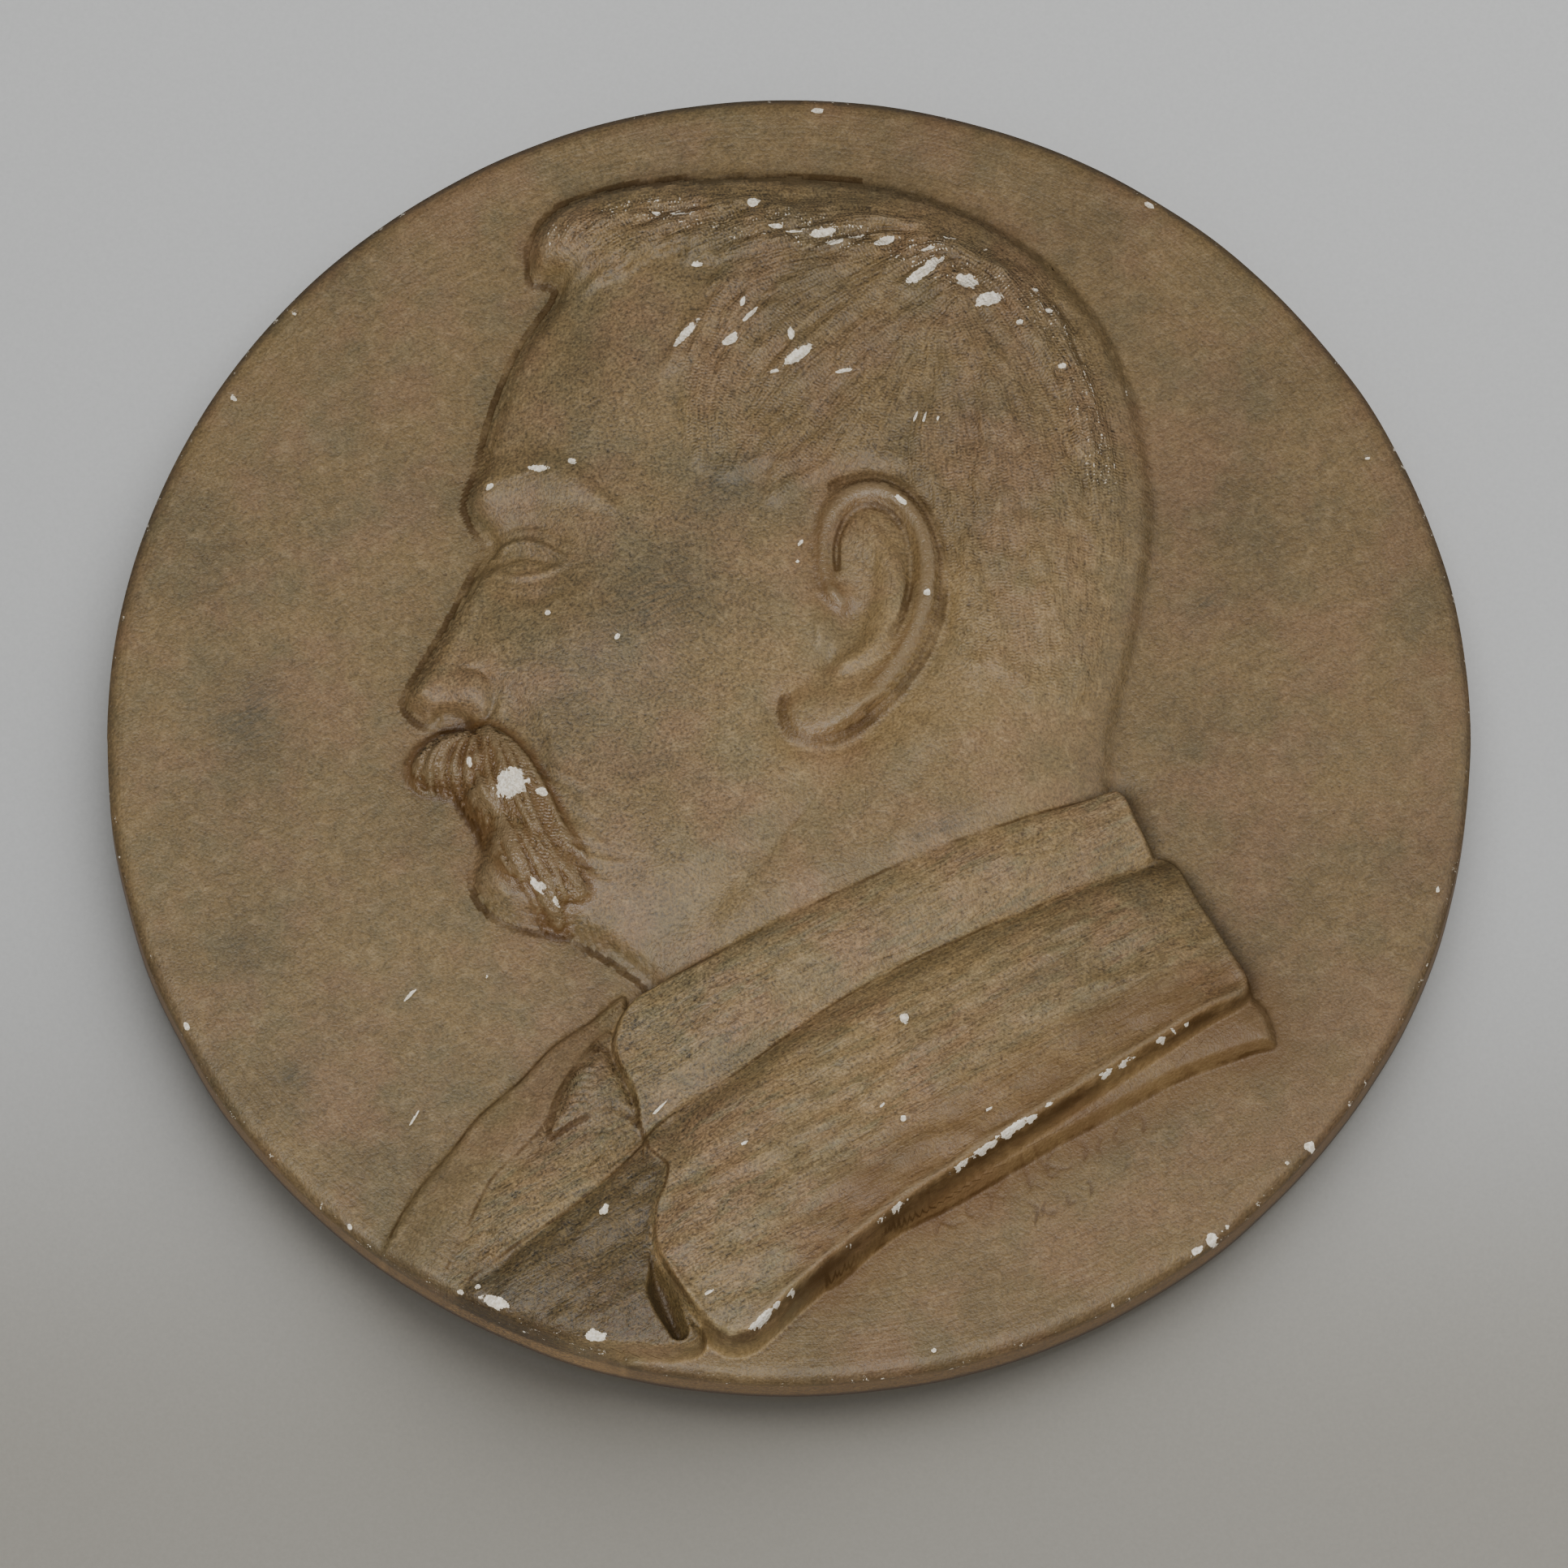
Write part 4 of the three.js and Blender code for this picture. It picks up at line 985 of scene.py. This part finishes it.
class Shader:
    """A material's nodes, added and linked one by one."""

    def __init__(self, name):
        self.material = bpy.data.materials.new(name)
        self.material.use_nodes = True
        self.tree = self.material.node_tree
        self.tree.nodes.clear()
        self.output = self.node("ShaderNodeOutputMaterial")

    def node(self, kind, inputs=None, **settings):
        made = self.tree.nodes.new(kind)
        for key, value in settings.items():
            setattr(made, key, value)
        for key, value in (inputs or {}).items():
            if isinstance(value, bpy.types.NodeSocket):
                self.tree.links.new(value, made.inputs[key])
            else:
                made.inputs[key].default_value = value
        return made

    def math(self, operation, a, b=0.0, c=0.0):
        return self.node("ShaderNodeMath", {0: a, 1: b, 2: c}, operation=operation).outputs[0]

    def times(self, a, b):
        return self.math("MULTIPLY", a, b)

    def fit(self, value, factor, offset):
        """A value times a factor plus an offset."""
        return self.math("MULTIPLY_ADD", value, factor, offset)

    def noise(self, place, size, detail=2.0, roughness=0.5, stretch=None):
        """Noise whose patches are about one size across, as values round 0.5."""
        if stretch:
            inputs = {"Vector": place, **stretch}
            place = self.node("ShaderNodeMapping", inputs, vector_type="TEXTURE").outputs[0]
        inputs = {"Vector": place, "Scale": 1 / size, "Detail": detail, "Roughness": roughness}
        return self.node("ShaderNodeTexNoise", inputs).outputs[0]

    def step(self, value, low, high):
        """0 up to low, 1 from high, smooth between them."""
        inputs = {"Value": value, "From Min": low, "From Max": high}
        return self.node("ShaderNodeMapRange", inputs, interpolation_type="SMOOTHSTEP").outputs[0]

    def mix(self, share, a, b, blend="MIX"):
        inputs = {0: share, 6: a, 7: b}
        return self.node("ShaderNodeMix", inputs, data_type="RGBA", blend_type=blend).outputs[2]

    def measure(self, name):
        return self.node("ShaderNodeAttribute", attribute_name=name).outputs["Fac"]


def in_millimetres(s, coordinates):
    inputs = {0: coordinates, "Scale": 1 / MM}
    return s.node("ShaderNodeVectorMath", inputs, operation="SCALE").outputs[0]


def strand_noise(s, place, size, length):
    """Noise drawn out along the brushed strands, as values round 0.5."""
    angle = s.times(s.math("ARCTAN2", s.measure("turn_z"), s.measure("turn_x")), 0.5)
    inputs = {0: s.math("COSINE", angle), 2: s.math("SINE", angle)}
    way = s.node("ShaderNodeCombineXYZ", inputs).outputs[0]
    steps = range(-2, 3)
    total = None
    for k in steps:
        inputs = {0: way, 1: (length / (len(steps) - 1) * k,) * 3, 2: place}
        moved = s.node("ShaderNodeVectorMath", inputs, operation="MULTIPLY_ADD").outputs[0]
        value = s.noise(moved, size, 0)
        total = value if total is None else s.math("ADD", total, value)
    return s.fit(total, 1.8 / len(steps), -0.4)


def round_brush(s, place):
    """Brush lines that run round the disc near its rim, as values round 0.5."""
    x, _, z = s.node("ShaderNodeSeparateXYZ", {0: place}).outputs
    r = s.math("SQRT", s.fit(x, x, s.times(z, z)))
    turn = s.times(s.math("ARCTAN2", x, z), 9.0)
    polar = s.node("ShaderNodeCombineXYZ", {0: r, 1: turn}).outputs[0]
    return s.noise(polar, 1.1, 2), r


def glazed_plaster(colours):
    """Tan glaze mottled with grey, green and pink, brown in the hollows, white where chipped."""
    s = Shader("glazed_plaster")
    coordinates = s.node("ShaderNodeTexCoord").outputs["Object"]
    place = in_millimetres(s, coordinates)

    # Patterns, the coarse ones first
    clouds = s.noise(place, 46, 3, 0.55)
    patches = s.noise(place, 16, 4, 0.68, {"Location": (31, 0, 7)})
    blush = s.noise(place, 24, 3, 0.6, {"Location": (-50, 0, 90)})
    mottle = s.noise(place, 4.5, 4, 0.75)
    grain = s.noise(place, 0.75, 2, 0.6)
    slant = (0, math.radians(-30), 0)
    strokes = s.noise(place, 0.8, 2, 0.6, {"Rotation": slant, "Scale": (7, 1, 1)})
    stretch = {"Rotation": slant, "Scale": (5, 1, 1), "Location": (9, 2, 6)}
    swipes = s.noise(place, 2.6, 3, 0.6, stretch)
    strands = strand_noise(s, place, 0.7, 3.6)
    rim_brush, r = round_brush(s, place)
    depth = s.node("ShaderNodeSeparateXYZ", {0: place}).outputs[1]
    hair, cloth, gloss = s.measure("hair"), s.measure("cloth"), s.measure("gloss")

    # Tan, mottled and brushed
    colour = s.mix(s.step(clouds, 0.28, 0.62), (*colours.glaze_dark, 1), (*colours.glaze, 1))
    colour = s.mix(s.times(s.step(patches, 0.42, 0.72), 0.65), colour, (*colours.glaze_green, 1))
    colour = s.mix(s.times(s.step(blush, 0.42, 0.7), 0.55), colour, (*colours.glaze_pink, 1))
    colour = s.mix(s.times(s.step(mottle, 0.48, 0.78), 0.4), colour, (*colours.glaze_pale, 1))
    swiped = s.times(s.step(swipes, 0.5, 0.66), s.fit(cloth, 0.6, 0.1))
    colour = s.mix(swiped, colour, (*colours.glaze_green, 1))
    # Painted shade on the lapel, below the coat's top line and at the coat's right end
    shaded = s.times(s.measure("shadow"), s.fit(mottle, 1.4, 0.1))
    colour = s.mix(s.times(shaded, 0.95), colour, (*colours.glaze_shadow, 1))
    hatched = s.fit(s.step(strokes, 0.45, 0.6), 0.55, s.times(mottle, 0.5))
    smudged = s.times(s.measure("smudge"), hatched)
    colour = s.mix(smudged, colour, (*colours.glaze_smudge, 1))
    grainy = s.fit(s.math("ADD", s.measure("raised"), s.times(cloth, 0.5)), 1.2, 1.5)
    shade = s.fit(s.math("SUBTRACT", grain, 0.5), grainy, 1.07)
    shade = s.fit(s.math("SUBTRACT", mottle, 0.5), 0.65, shade)
    # Lighter bust, and painted light on the wall under the coat's cut edge
    shade = s.fit(s.measure("lighter_bust_and_painted_light"), 0.3, shade)
    shade = s.fit(s.times(s.math("SUBTRACT", strands, 0.5), hair), 1.5, shade)
    streaky = s.fit(cloth, 1.15, 0.5)
    shade = s.fit(s.math("SUBTRACT", strokes, 0.5), streaky, shade)
    colour = s.mix(1.0, colour, shade, "MULTIPLY")

    # Brown in the hollows and along the seams, painted shade in the slot between lapel and coat,
    # pale where it is worn
    hollow = s.measure("hollow")
    uneven = s.fit(mottle, 1.2, patches)
    pooled = s.step(s.math("ADD", hollow, s.math("SUBTRACT", uneven, 1.1)), 0.05, 1.1)
    pooled = s.times(pooled, s.fit(gloss, 0.15, 0.5))
    colour = s.mix(pooled, colour, (*colours.glaze_brown, 1))
    stained = s.times(s.times(gloss, s.step(mottle, 0.25, 0.55)), 0.7)
    colour = s.mix(stained, colour, (*colours.glaze_honey, 1))
    under = s.times(s.measure("under"), s.fit(patches, 1.1, 0.1))
    colour = s.mix(under, colour, (*colours.glaze_honey, 1))
    seam = s.math("ABSOLUTE", s.math("ADD", s.measure("seam"), s.fit(mottle, 0.9, -0.45)))
    kept = s.math("MAXIMUM", s.step(patches, 0.32, 0.6), gloss)
    seam = s.times(s.math("SUBTRACT", 1, s.step(seam, 0.12, 0.75)), kept)
    colour = s.mix(s.times(seam, 0.65), colour, (*colours.glaze_brown, 1))
    worn = s.step(s.math("SUBTRACT", s.times(mottle, 0.8), hollow), 0.5, 1.3)
    colour = s.mix(s.times(worn, 0.4), colour, (*colours.glaze_pale, 1))

    # Pits and scratches
    specks = s.noise(place, 1.5, 2, 0.6, {"Location": (11, 3, 5)})
    busy = s.fit(s.math("ADD", hair, cloth), -0.045, 0.735)
    busy = s.fit(s.step(clouds, 0.45, 0.6), -0.02, busy)
    pits = s.step(s.math("SUBTRACT", specks, busy), 0, 0.03)
    scratch = s.times(s.step(strokes, 0.56, 0.62), s.step(blush, 0.52, 0.6))
    strand_pits = s.times(s.step(strands, 0.3, 0.16), hair)
    scratch = s.times(scratch, s.fit(cloth, 0.6, 0.4))
    dark = s.math("MAXIMUM", s.math("MAXIMUM", pits, scratch), strand_pits)
    colour = s.mix(s.times(dark, 0.6), colour, (*colours.glaze_brown, 1))

    # Bare plaster in the chips, in flecks on the crown and in nicks at the rim
    ragged = s.fit(s.noise(place, 1.7, 3, 0.6, {"Location": (5, 9, 2)}), 1.3, -0.65)
    front = s.step(depth, -9.0, -11.0)
    chip = s.times(s.step(s.math("ADD", s.measure("chip"), ragged), 0.1, 0.16), front)
    flecks = s.times(s.step(strands, 0.6, 0.68), s.step(specks, 0.5, 0.56))
    fleck = s.times(flecks, s.step(s.times(s.measure("fleck"), patches), 0.38, 0.47))
    nicks = s.step(s.noise(place, 2.6, 4, 0.75, {"Location": (3, 0, 40)}), 0.63, 0.67)
    nicks = s.times(nicks, s.times(front, s.step(r, RADIUS - 2.0, RADIUS - 1.0)))
    bare = s.math("MAXIMUM", chip, s.math("MAXIMUM", fleck, nicks))
    plaster = s.mix(s.step(grain, 0.3, 0.7), (*colours.plaster_dusty, 1), (*colours.plaster, 1))
    edge = s.times(s.step(r, RADIUS - 3, RADIUS - 0.8), s.fit(front, 0.2, 0.1))
    colour = s.mix(edge, colour, (*colours.glaze_brown, 1))
    colour = s.mix(bare, colour, plaster)

    # The side, the back edge and the back
    # Painted light: the side takes a lighter, warm copy of the glaze, set against the shade that
    # falls on it
    side = s.times(s.math("SUBTRACT", 1, front), 0.8)
    colour = s.mix(side, colour, s.mix(1.0, (*colours.side_glaze_painted_light, 1), shade, "MULTIPLY"))
    back_edge = s.times(s.step(depth, -4.5, -2.0), 0.75)
    colour = s.mix(back_edge, colour, (*colours.glaze_brown, 1))
    back = s.step(depth, -0.6, -0.1)
    colour = s.mix(s.times(back, 0.75), colour, (*colours.plaster_dusty, 1))

    # Sheen and fine relief
    rough = s.fit(grain, 0.25, 0.42)
    rough = s.fit(bare, 0.3, rough)
    rough = s.fit(gloss, -0.14, rough)
    relief = s.fit(mottle, 0.35, s.times(grain, 0.25))
    relief = s.fit(s.times(strands, hair), 0.55, relief)
    cloth_marks = s.times(strokes, s.fit(cloth, 0.8, 0.2))
    relief = s.fit(cloth_marks, 0.3, relief)
    relief = s.fit(s.times(rim_brush, s.step(r, 140, 168)), 0.2, relief)
    inputs = {"Height": relief, "Strength": 1.0, "Distance": MM}
    normal = s.node("ShaderNodeBump", inputs).outputs[0]
    shine = s.fit(seam, -0.35, 0.5)
    inputs = {"Base Color": colour, "Roughness": rough, "Normal": normal}
    plain = s.node("ShaderNodeBsdfPrincipled", {**inputs, "Specular IOR Level": shine})
    s.tree.links.new(plain.outputs[0], s.output.inputs[0])
    return s.material


def backdrop_paper(colours):
    """Matt pale paper with painted shade, darker and a little warmer towards the bottom, seen from
    its front only.
    """
    s = Shader("backdrop_paper")
    coordinates = s.node("ShaderNodeTexCoord").outputs["Object"]
    height = s.node("ShaderNodeSeparateXYZ", {0: coordinates}).outputs[2]
    tint = s.mix(s.step(height, -0.2, -0.02), (*colours.backdrop_low_shade, 1), (*colours.backdrop, 1))
    weave = s.fit(s.noise(in_millimetres(s, coordinates), 1.1, 2, 0.7), 0.16, 0.92)
    tint = s.mix(1.0, tint, weave, "MULTIPLY")
    paper = s.node("ShaderNodeBsdfPrincipled", {"Base Color": tint, "Roughness": 0.9})
    clear = s.node("ShaderNodeBsdfTransparent")
    side = s.node("ShaderNodeNewGeometry").outputs["Backfacing"]
    shown = s.node("ShaderNodeMixShader", {0: side, 1: paper.outputs[0], 2: clear.outputs[0]})
    s.tree.links.new(shown.outputs[0], s.output.inputs[0])
    return s.material


# What a user can change


class MedallionSizes(bpy.types.PropertyGroup):
    """Fineness of the casting's mesh."""

    grid_steps: bpy.props.IntProperty(
        name="Grid steps", description="Faces across the plain ground", default=144, min=40, max=200
    )
    finest_faces: bpy.props.IntProperty(
        name="Finest faces", description="Faces of the bust that are split once more",
        default=9000, min=100, max=14000
    )


class MedallionColours(bpy.types.PropertyGroup):
    """Colours of the glaze, the bare plaster and the backdrop."""

    glaze: bpy.props.FloatVectorProperty(
        name="Glaze", description="Main tan of the glaze",
        subtype="COLOR", default=srgb(107, 88, 56)
    )
    glaze_dark: bpy.props.FloatVectorProperty(
        name="Dark glaze", description="Large darker clouds",
        subtype="COLOR", default=srgb(88, 73, 46)
    )
    glaze_green: bpy.props.FloatVectorProperty(
        name="Green glaze", description="Grey-green patches",
        subtype="COLOR", default=srgb(90, 81, 56)
    )
    glaze_pink: bpy.props.FloatVectorProperty(
        name="Pink glaze", description="Pinkish patches", subtype="COLOR", default=srgb(116, 89, 63)
    )
    glaze_pale: bpy.props.FloatVectorProperty(
        name="Pale glaze", description="Thin glaze and worn high edges",
        subtype="COLOR", default=srgb(130, 113, 84)
    )
    glaze_honey: bpy.props.FloatVectorProperty(
        name="Honey glaze", description="Thick glossy glaze on ear and moustache",
        subtype="COLOR", default=srgb(93, 66, 33)
    )
    # Warm glaze of the side, made lighter as painted light against the shade on it
    side_glaze_painted_light: bpy.props.FloatVectorProperty(
        name="Side glaze", description="Warm glaze round the disc's side",
        subtype="COLOR", default=srgb(120, 94, 60)
    )
    # Colour of the painted shade on the lapel and below the folds
    glaze_shadow: bpy.props.FloatVectorProperty(
        name="Shadow glaze", description="Dull glaze on the lapel and below folds",
        subtype="COLOR", default=srgb(64, 51, 26)
    )
    glaze_smudge: bpy.props.FloatVectorProperty(
        name="Smudges", description="Dull grey smudges", subtype="COLOR", default=srgb(66, 60, 44)
    )
    glaze_brown: bpy.props.FloatVectorProperty(
        name="Brown glaze", description="Glaze pooled in hollows and pits",
        subtype="COLOR", default=srgb(56, 36, 15)
    )
    plaster: bpy.props.FloatVectorProperty(
        name="Plaster", description="Bare plaster in the chips",
        subtype="COLOR", default=srgb(238, 231, 215)
    )
    plaster_dusty: bpy.props.FloatVectorProperty(
        name="Dusty plaster", description="Soiled bare plaster",
        subtype="COLOR", default=srgb(196, 184, 162)
    )
    backdrop: bpy.props.FloatVectorProperty(
        name="Backdrop", description="Paper behind the medallion",
        subtype="COLOR", default=srgb(206, 207, 206)
    )
    # Painted shade: the paper's darker, warmer bottom
    backdrop_low_shade: bpy.props.FloatVectorProperty(
        name="Low backdrop", description="The paper's warmer bottom",
        subtype="COLOR", default=srgb(172, 168, 158)
    )


class MedallionStage(bpy.types.PropertyGroup):
    """Camera and lights."""

    below: bpy.props.FloatProperty(
        name="View from below", description="Angle of the camera under the normal",
        default=math.radians(19.5), unit="ROTATION"
    )
    distance: bpy.props.FloatProperty(
        name="Distance", description="Camera to the disc", default=8.0, unit="LENGTH"
    )
    lens: bpy.props.FloatProperty(
        name="Lens", description="Focal length on a 36 mm sensor", default=696.0, unit="CAMERA"
    )
    key_power: bpy.props.FloatProperty(
        name="Key light", description="Power of the soft light at the front",
        default=24.6, unit="POWER"
    )
    fill_power: bpy.props.FloatProperty(
        name="Fill light", description="Power of the soft light at the right",
        default=6.0, unit="POWER"
    )
    paper_power: bpy.props.FloatProperty(
        name="Backdrop light", description="Power of the light on the paper",
        default=26.5, unit="POWER"
    )


class MEDALLION_OT_cast(bpy.types.Operator):
    """Casts the medallion with its finer carving and glaze"""

    bl_idname = "medallion.cast"
    bl_label = "Cast the medallion"

    def execute(self, context):
        mesh = cast_mesh(context.scene.medallion_sizes)
        mesh.materials.append(glazed_plaster(context.scene.medallion_colours))
        casting = bpy.data.objects.new("medallion_casting", mesh)
        context.scene.collection.objects.link(casting)
        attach(casting, "root")
        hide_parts("medallion")
        mesh.calc_loop_triangles()
        if len(mesh.loop_triangles) > MOST_TRIANGLES:
            raise RuntimeError(f"the casting has {len(mesh.loop_triangles)} triangles")
        return {"FINISHED"}


# Azimuth, elevation and distance of the lights on the casting, and how wide they are
KEY_PLACE = (-9, -25, 1.5)
KEY_SIZE = 1.0
FILL_PLACE = (60, 5, 1.6)
FILL_SIZE = 0.9

# The paper and the light on it, in metres
PAPER_SIZE = 4
PAPER_GAP = 0.003  # from the disc's back
PAPER_LIGHT_PLACE = (0.3, -1.1, 0.85)
PAPER_LIGHT_SIZE = 2.3

WORLD_GREY = 0.8
WORLD_STRENGTH = 0.35
SENSOR = 36
AIM = Vector((-0.0012, 0, -0.0087))  # the place that the camera looks at


def area_light(name, place, size, power, lit):
    """A round soft light on the origin that reaches one collection of objects."""
    data = bpy.data.lights.new(name, "AREA")
    data.shape = "DISK"
    data.size = size
    data.energy = power
    light = bpy.data.objects.new(name, data)
    light.location = place
    light.rotation_euler = (-Vector(place)).to_track_quat("-Z", "Y").to_euler()
    light.light_linking.receiver_collection = lit
    bpy.context.scene.collection.objects.link(light)


def toward(azimuth, elevation, distance):
    """A place round the origin; azimuth 0 is at the front and 90 at the right."""
    a, e = math.radians(azimuth), math.radians(elevation)
    return Vector((math.sin(a) * math.cos(e), -math.cos(a) * math.cos(e), math.sin(e))) * distance


class MEDALLION_OT_stage(bpy.types.Operator):
    """Adds the backdrop, the lights, the world and the camera"""

    bl_idname = "medallion.stage"
    bl_label = "Set the stage"

    def execute(self, context):
        stage = context.scene.medallion_stage
        bpy.ops.mesh.primitive_plane_add(size=PAPER_SIZE)
        paper = context.object
        paper.name = "backdrop"
        upright = Matrix.Rotation(math.radians(90), 4, "X")
        paper.data.transform(Matrix.Translation((0, PAPER_GAP, 0)) @ upright)
        paper.data.materials.append(backdrop_paper(context.scene.medallion_colours))
        for ray in ("diffuse", "glossy", "transmission", "shadow"):
            setattr(paper, "visible_" + ray, False)

        casting = bpy.data.collections.new("lit_casting")
        casting.objects.link(bpy.data.objects["medallion_casting"])
        papers = bpy.data.collections.new("lit_paper")
        papers.objects.link(paper)
        area_light("key_light", toward(*KEY_PLACE), KEY_SIZE, stage.key_power, casting)
        area_light("fill_light", toward(*FILL_PLACE), FILL_SIZE, stage.fill_power, casting)
        area_light("paper_light", PAPER_LIGHT_PLACE, PAPER_LIGHT_SIZE, stage.paper_power, papers)

        world = bpy.data.worlds.new("studio")
        world.use_nodes = True
        background = world.node_tree.nodes["Background"]
        background.inputs["Color"].default_value = (WORLD_GREY, WORLD_GREY, WORLD_GREY, 1)
        background.inputs["Strength"].default_value = WORLD_STRENGTH
        context.scene.world = world

        data = bpy.data.cameras.new("camera")
        data.lens = stage.lens
        data.sensor_width = SENSOR
        camera = bpy.data.objects.new("camera", data)
        camera.location = AIM + toward(0, -math.degrees(stage.below), stage.distance)
        camera.rotation_euler = (AIM - camera.location).to_track_quat("-Z", "Y").to_euler()
        context.scene.collection.objects.link(camera)
        context.scene.camera = camera
        return {"FINISHED"}


class MEDALLION_PT_panel(bpy.types.Panel):
    """Lists the sizes, the colours and the steps"""

    bl_label = "Plaster relief medallion"
    bl_idname = "MEDALLION_PT_panel"
    bl_space_type = "VIEW_3D"
    bl_region_type = "UI"
    bl_category = "Medallion"

    def draw(self, context):
        scene = context.scene
        for group in (scene.medallion_sizes, scene.medallion_colours, scene.medallion_stage):
            for key in group.bl_rna.properties.keys():
                if key not in ("rna_type", "name"):
                    self.layout.prop(group, key)
        self.layout.operator("medallion.cast")
        self.layout.operator("medallion.stage")


CLASSES = (
    MedallionSizes,
    MedallionColours,
    MedallionStage,
    MEDALLION_OT_cast,
    MEDALLION_OT_stage,
    MEDALLION_PT_panel,
)


def register():
    for kind in CLASSES:
        bpy.utils.register_class(kind)
    bpy.types.Scene.medallion_sizes = bpy.props.PointerProperty(type=MedallionSizes)
    bpy.types.Scene.medallion_colours = bpy.props.PointerProperty(type=MedallionColours)
    bpy.types.Scene.medallion_stage = bpy.props.PointerProperty(type=MedallionStage)


def unregister():
    del bpy.types.Scene.medallion_stage
    del bpy.types.Scene.medallion_colours
    del bpy.types.Scene.medallion_sizes
    for kind in reversed(CLASSES):
        bpy.utils.unregister_class(kind)


def main():
    register()
    bpy.ops.medallion.cast()
    bpy.ops.medallion.stage()


if __name__ == "__main__":
    main()
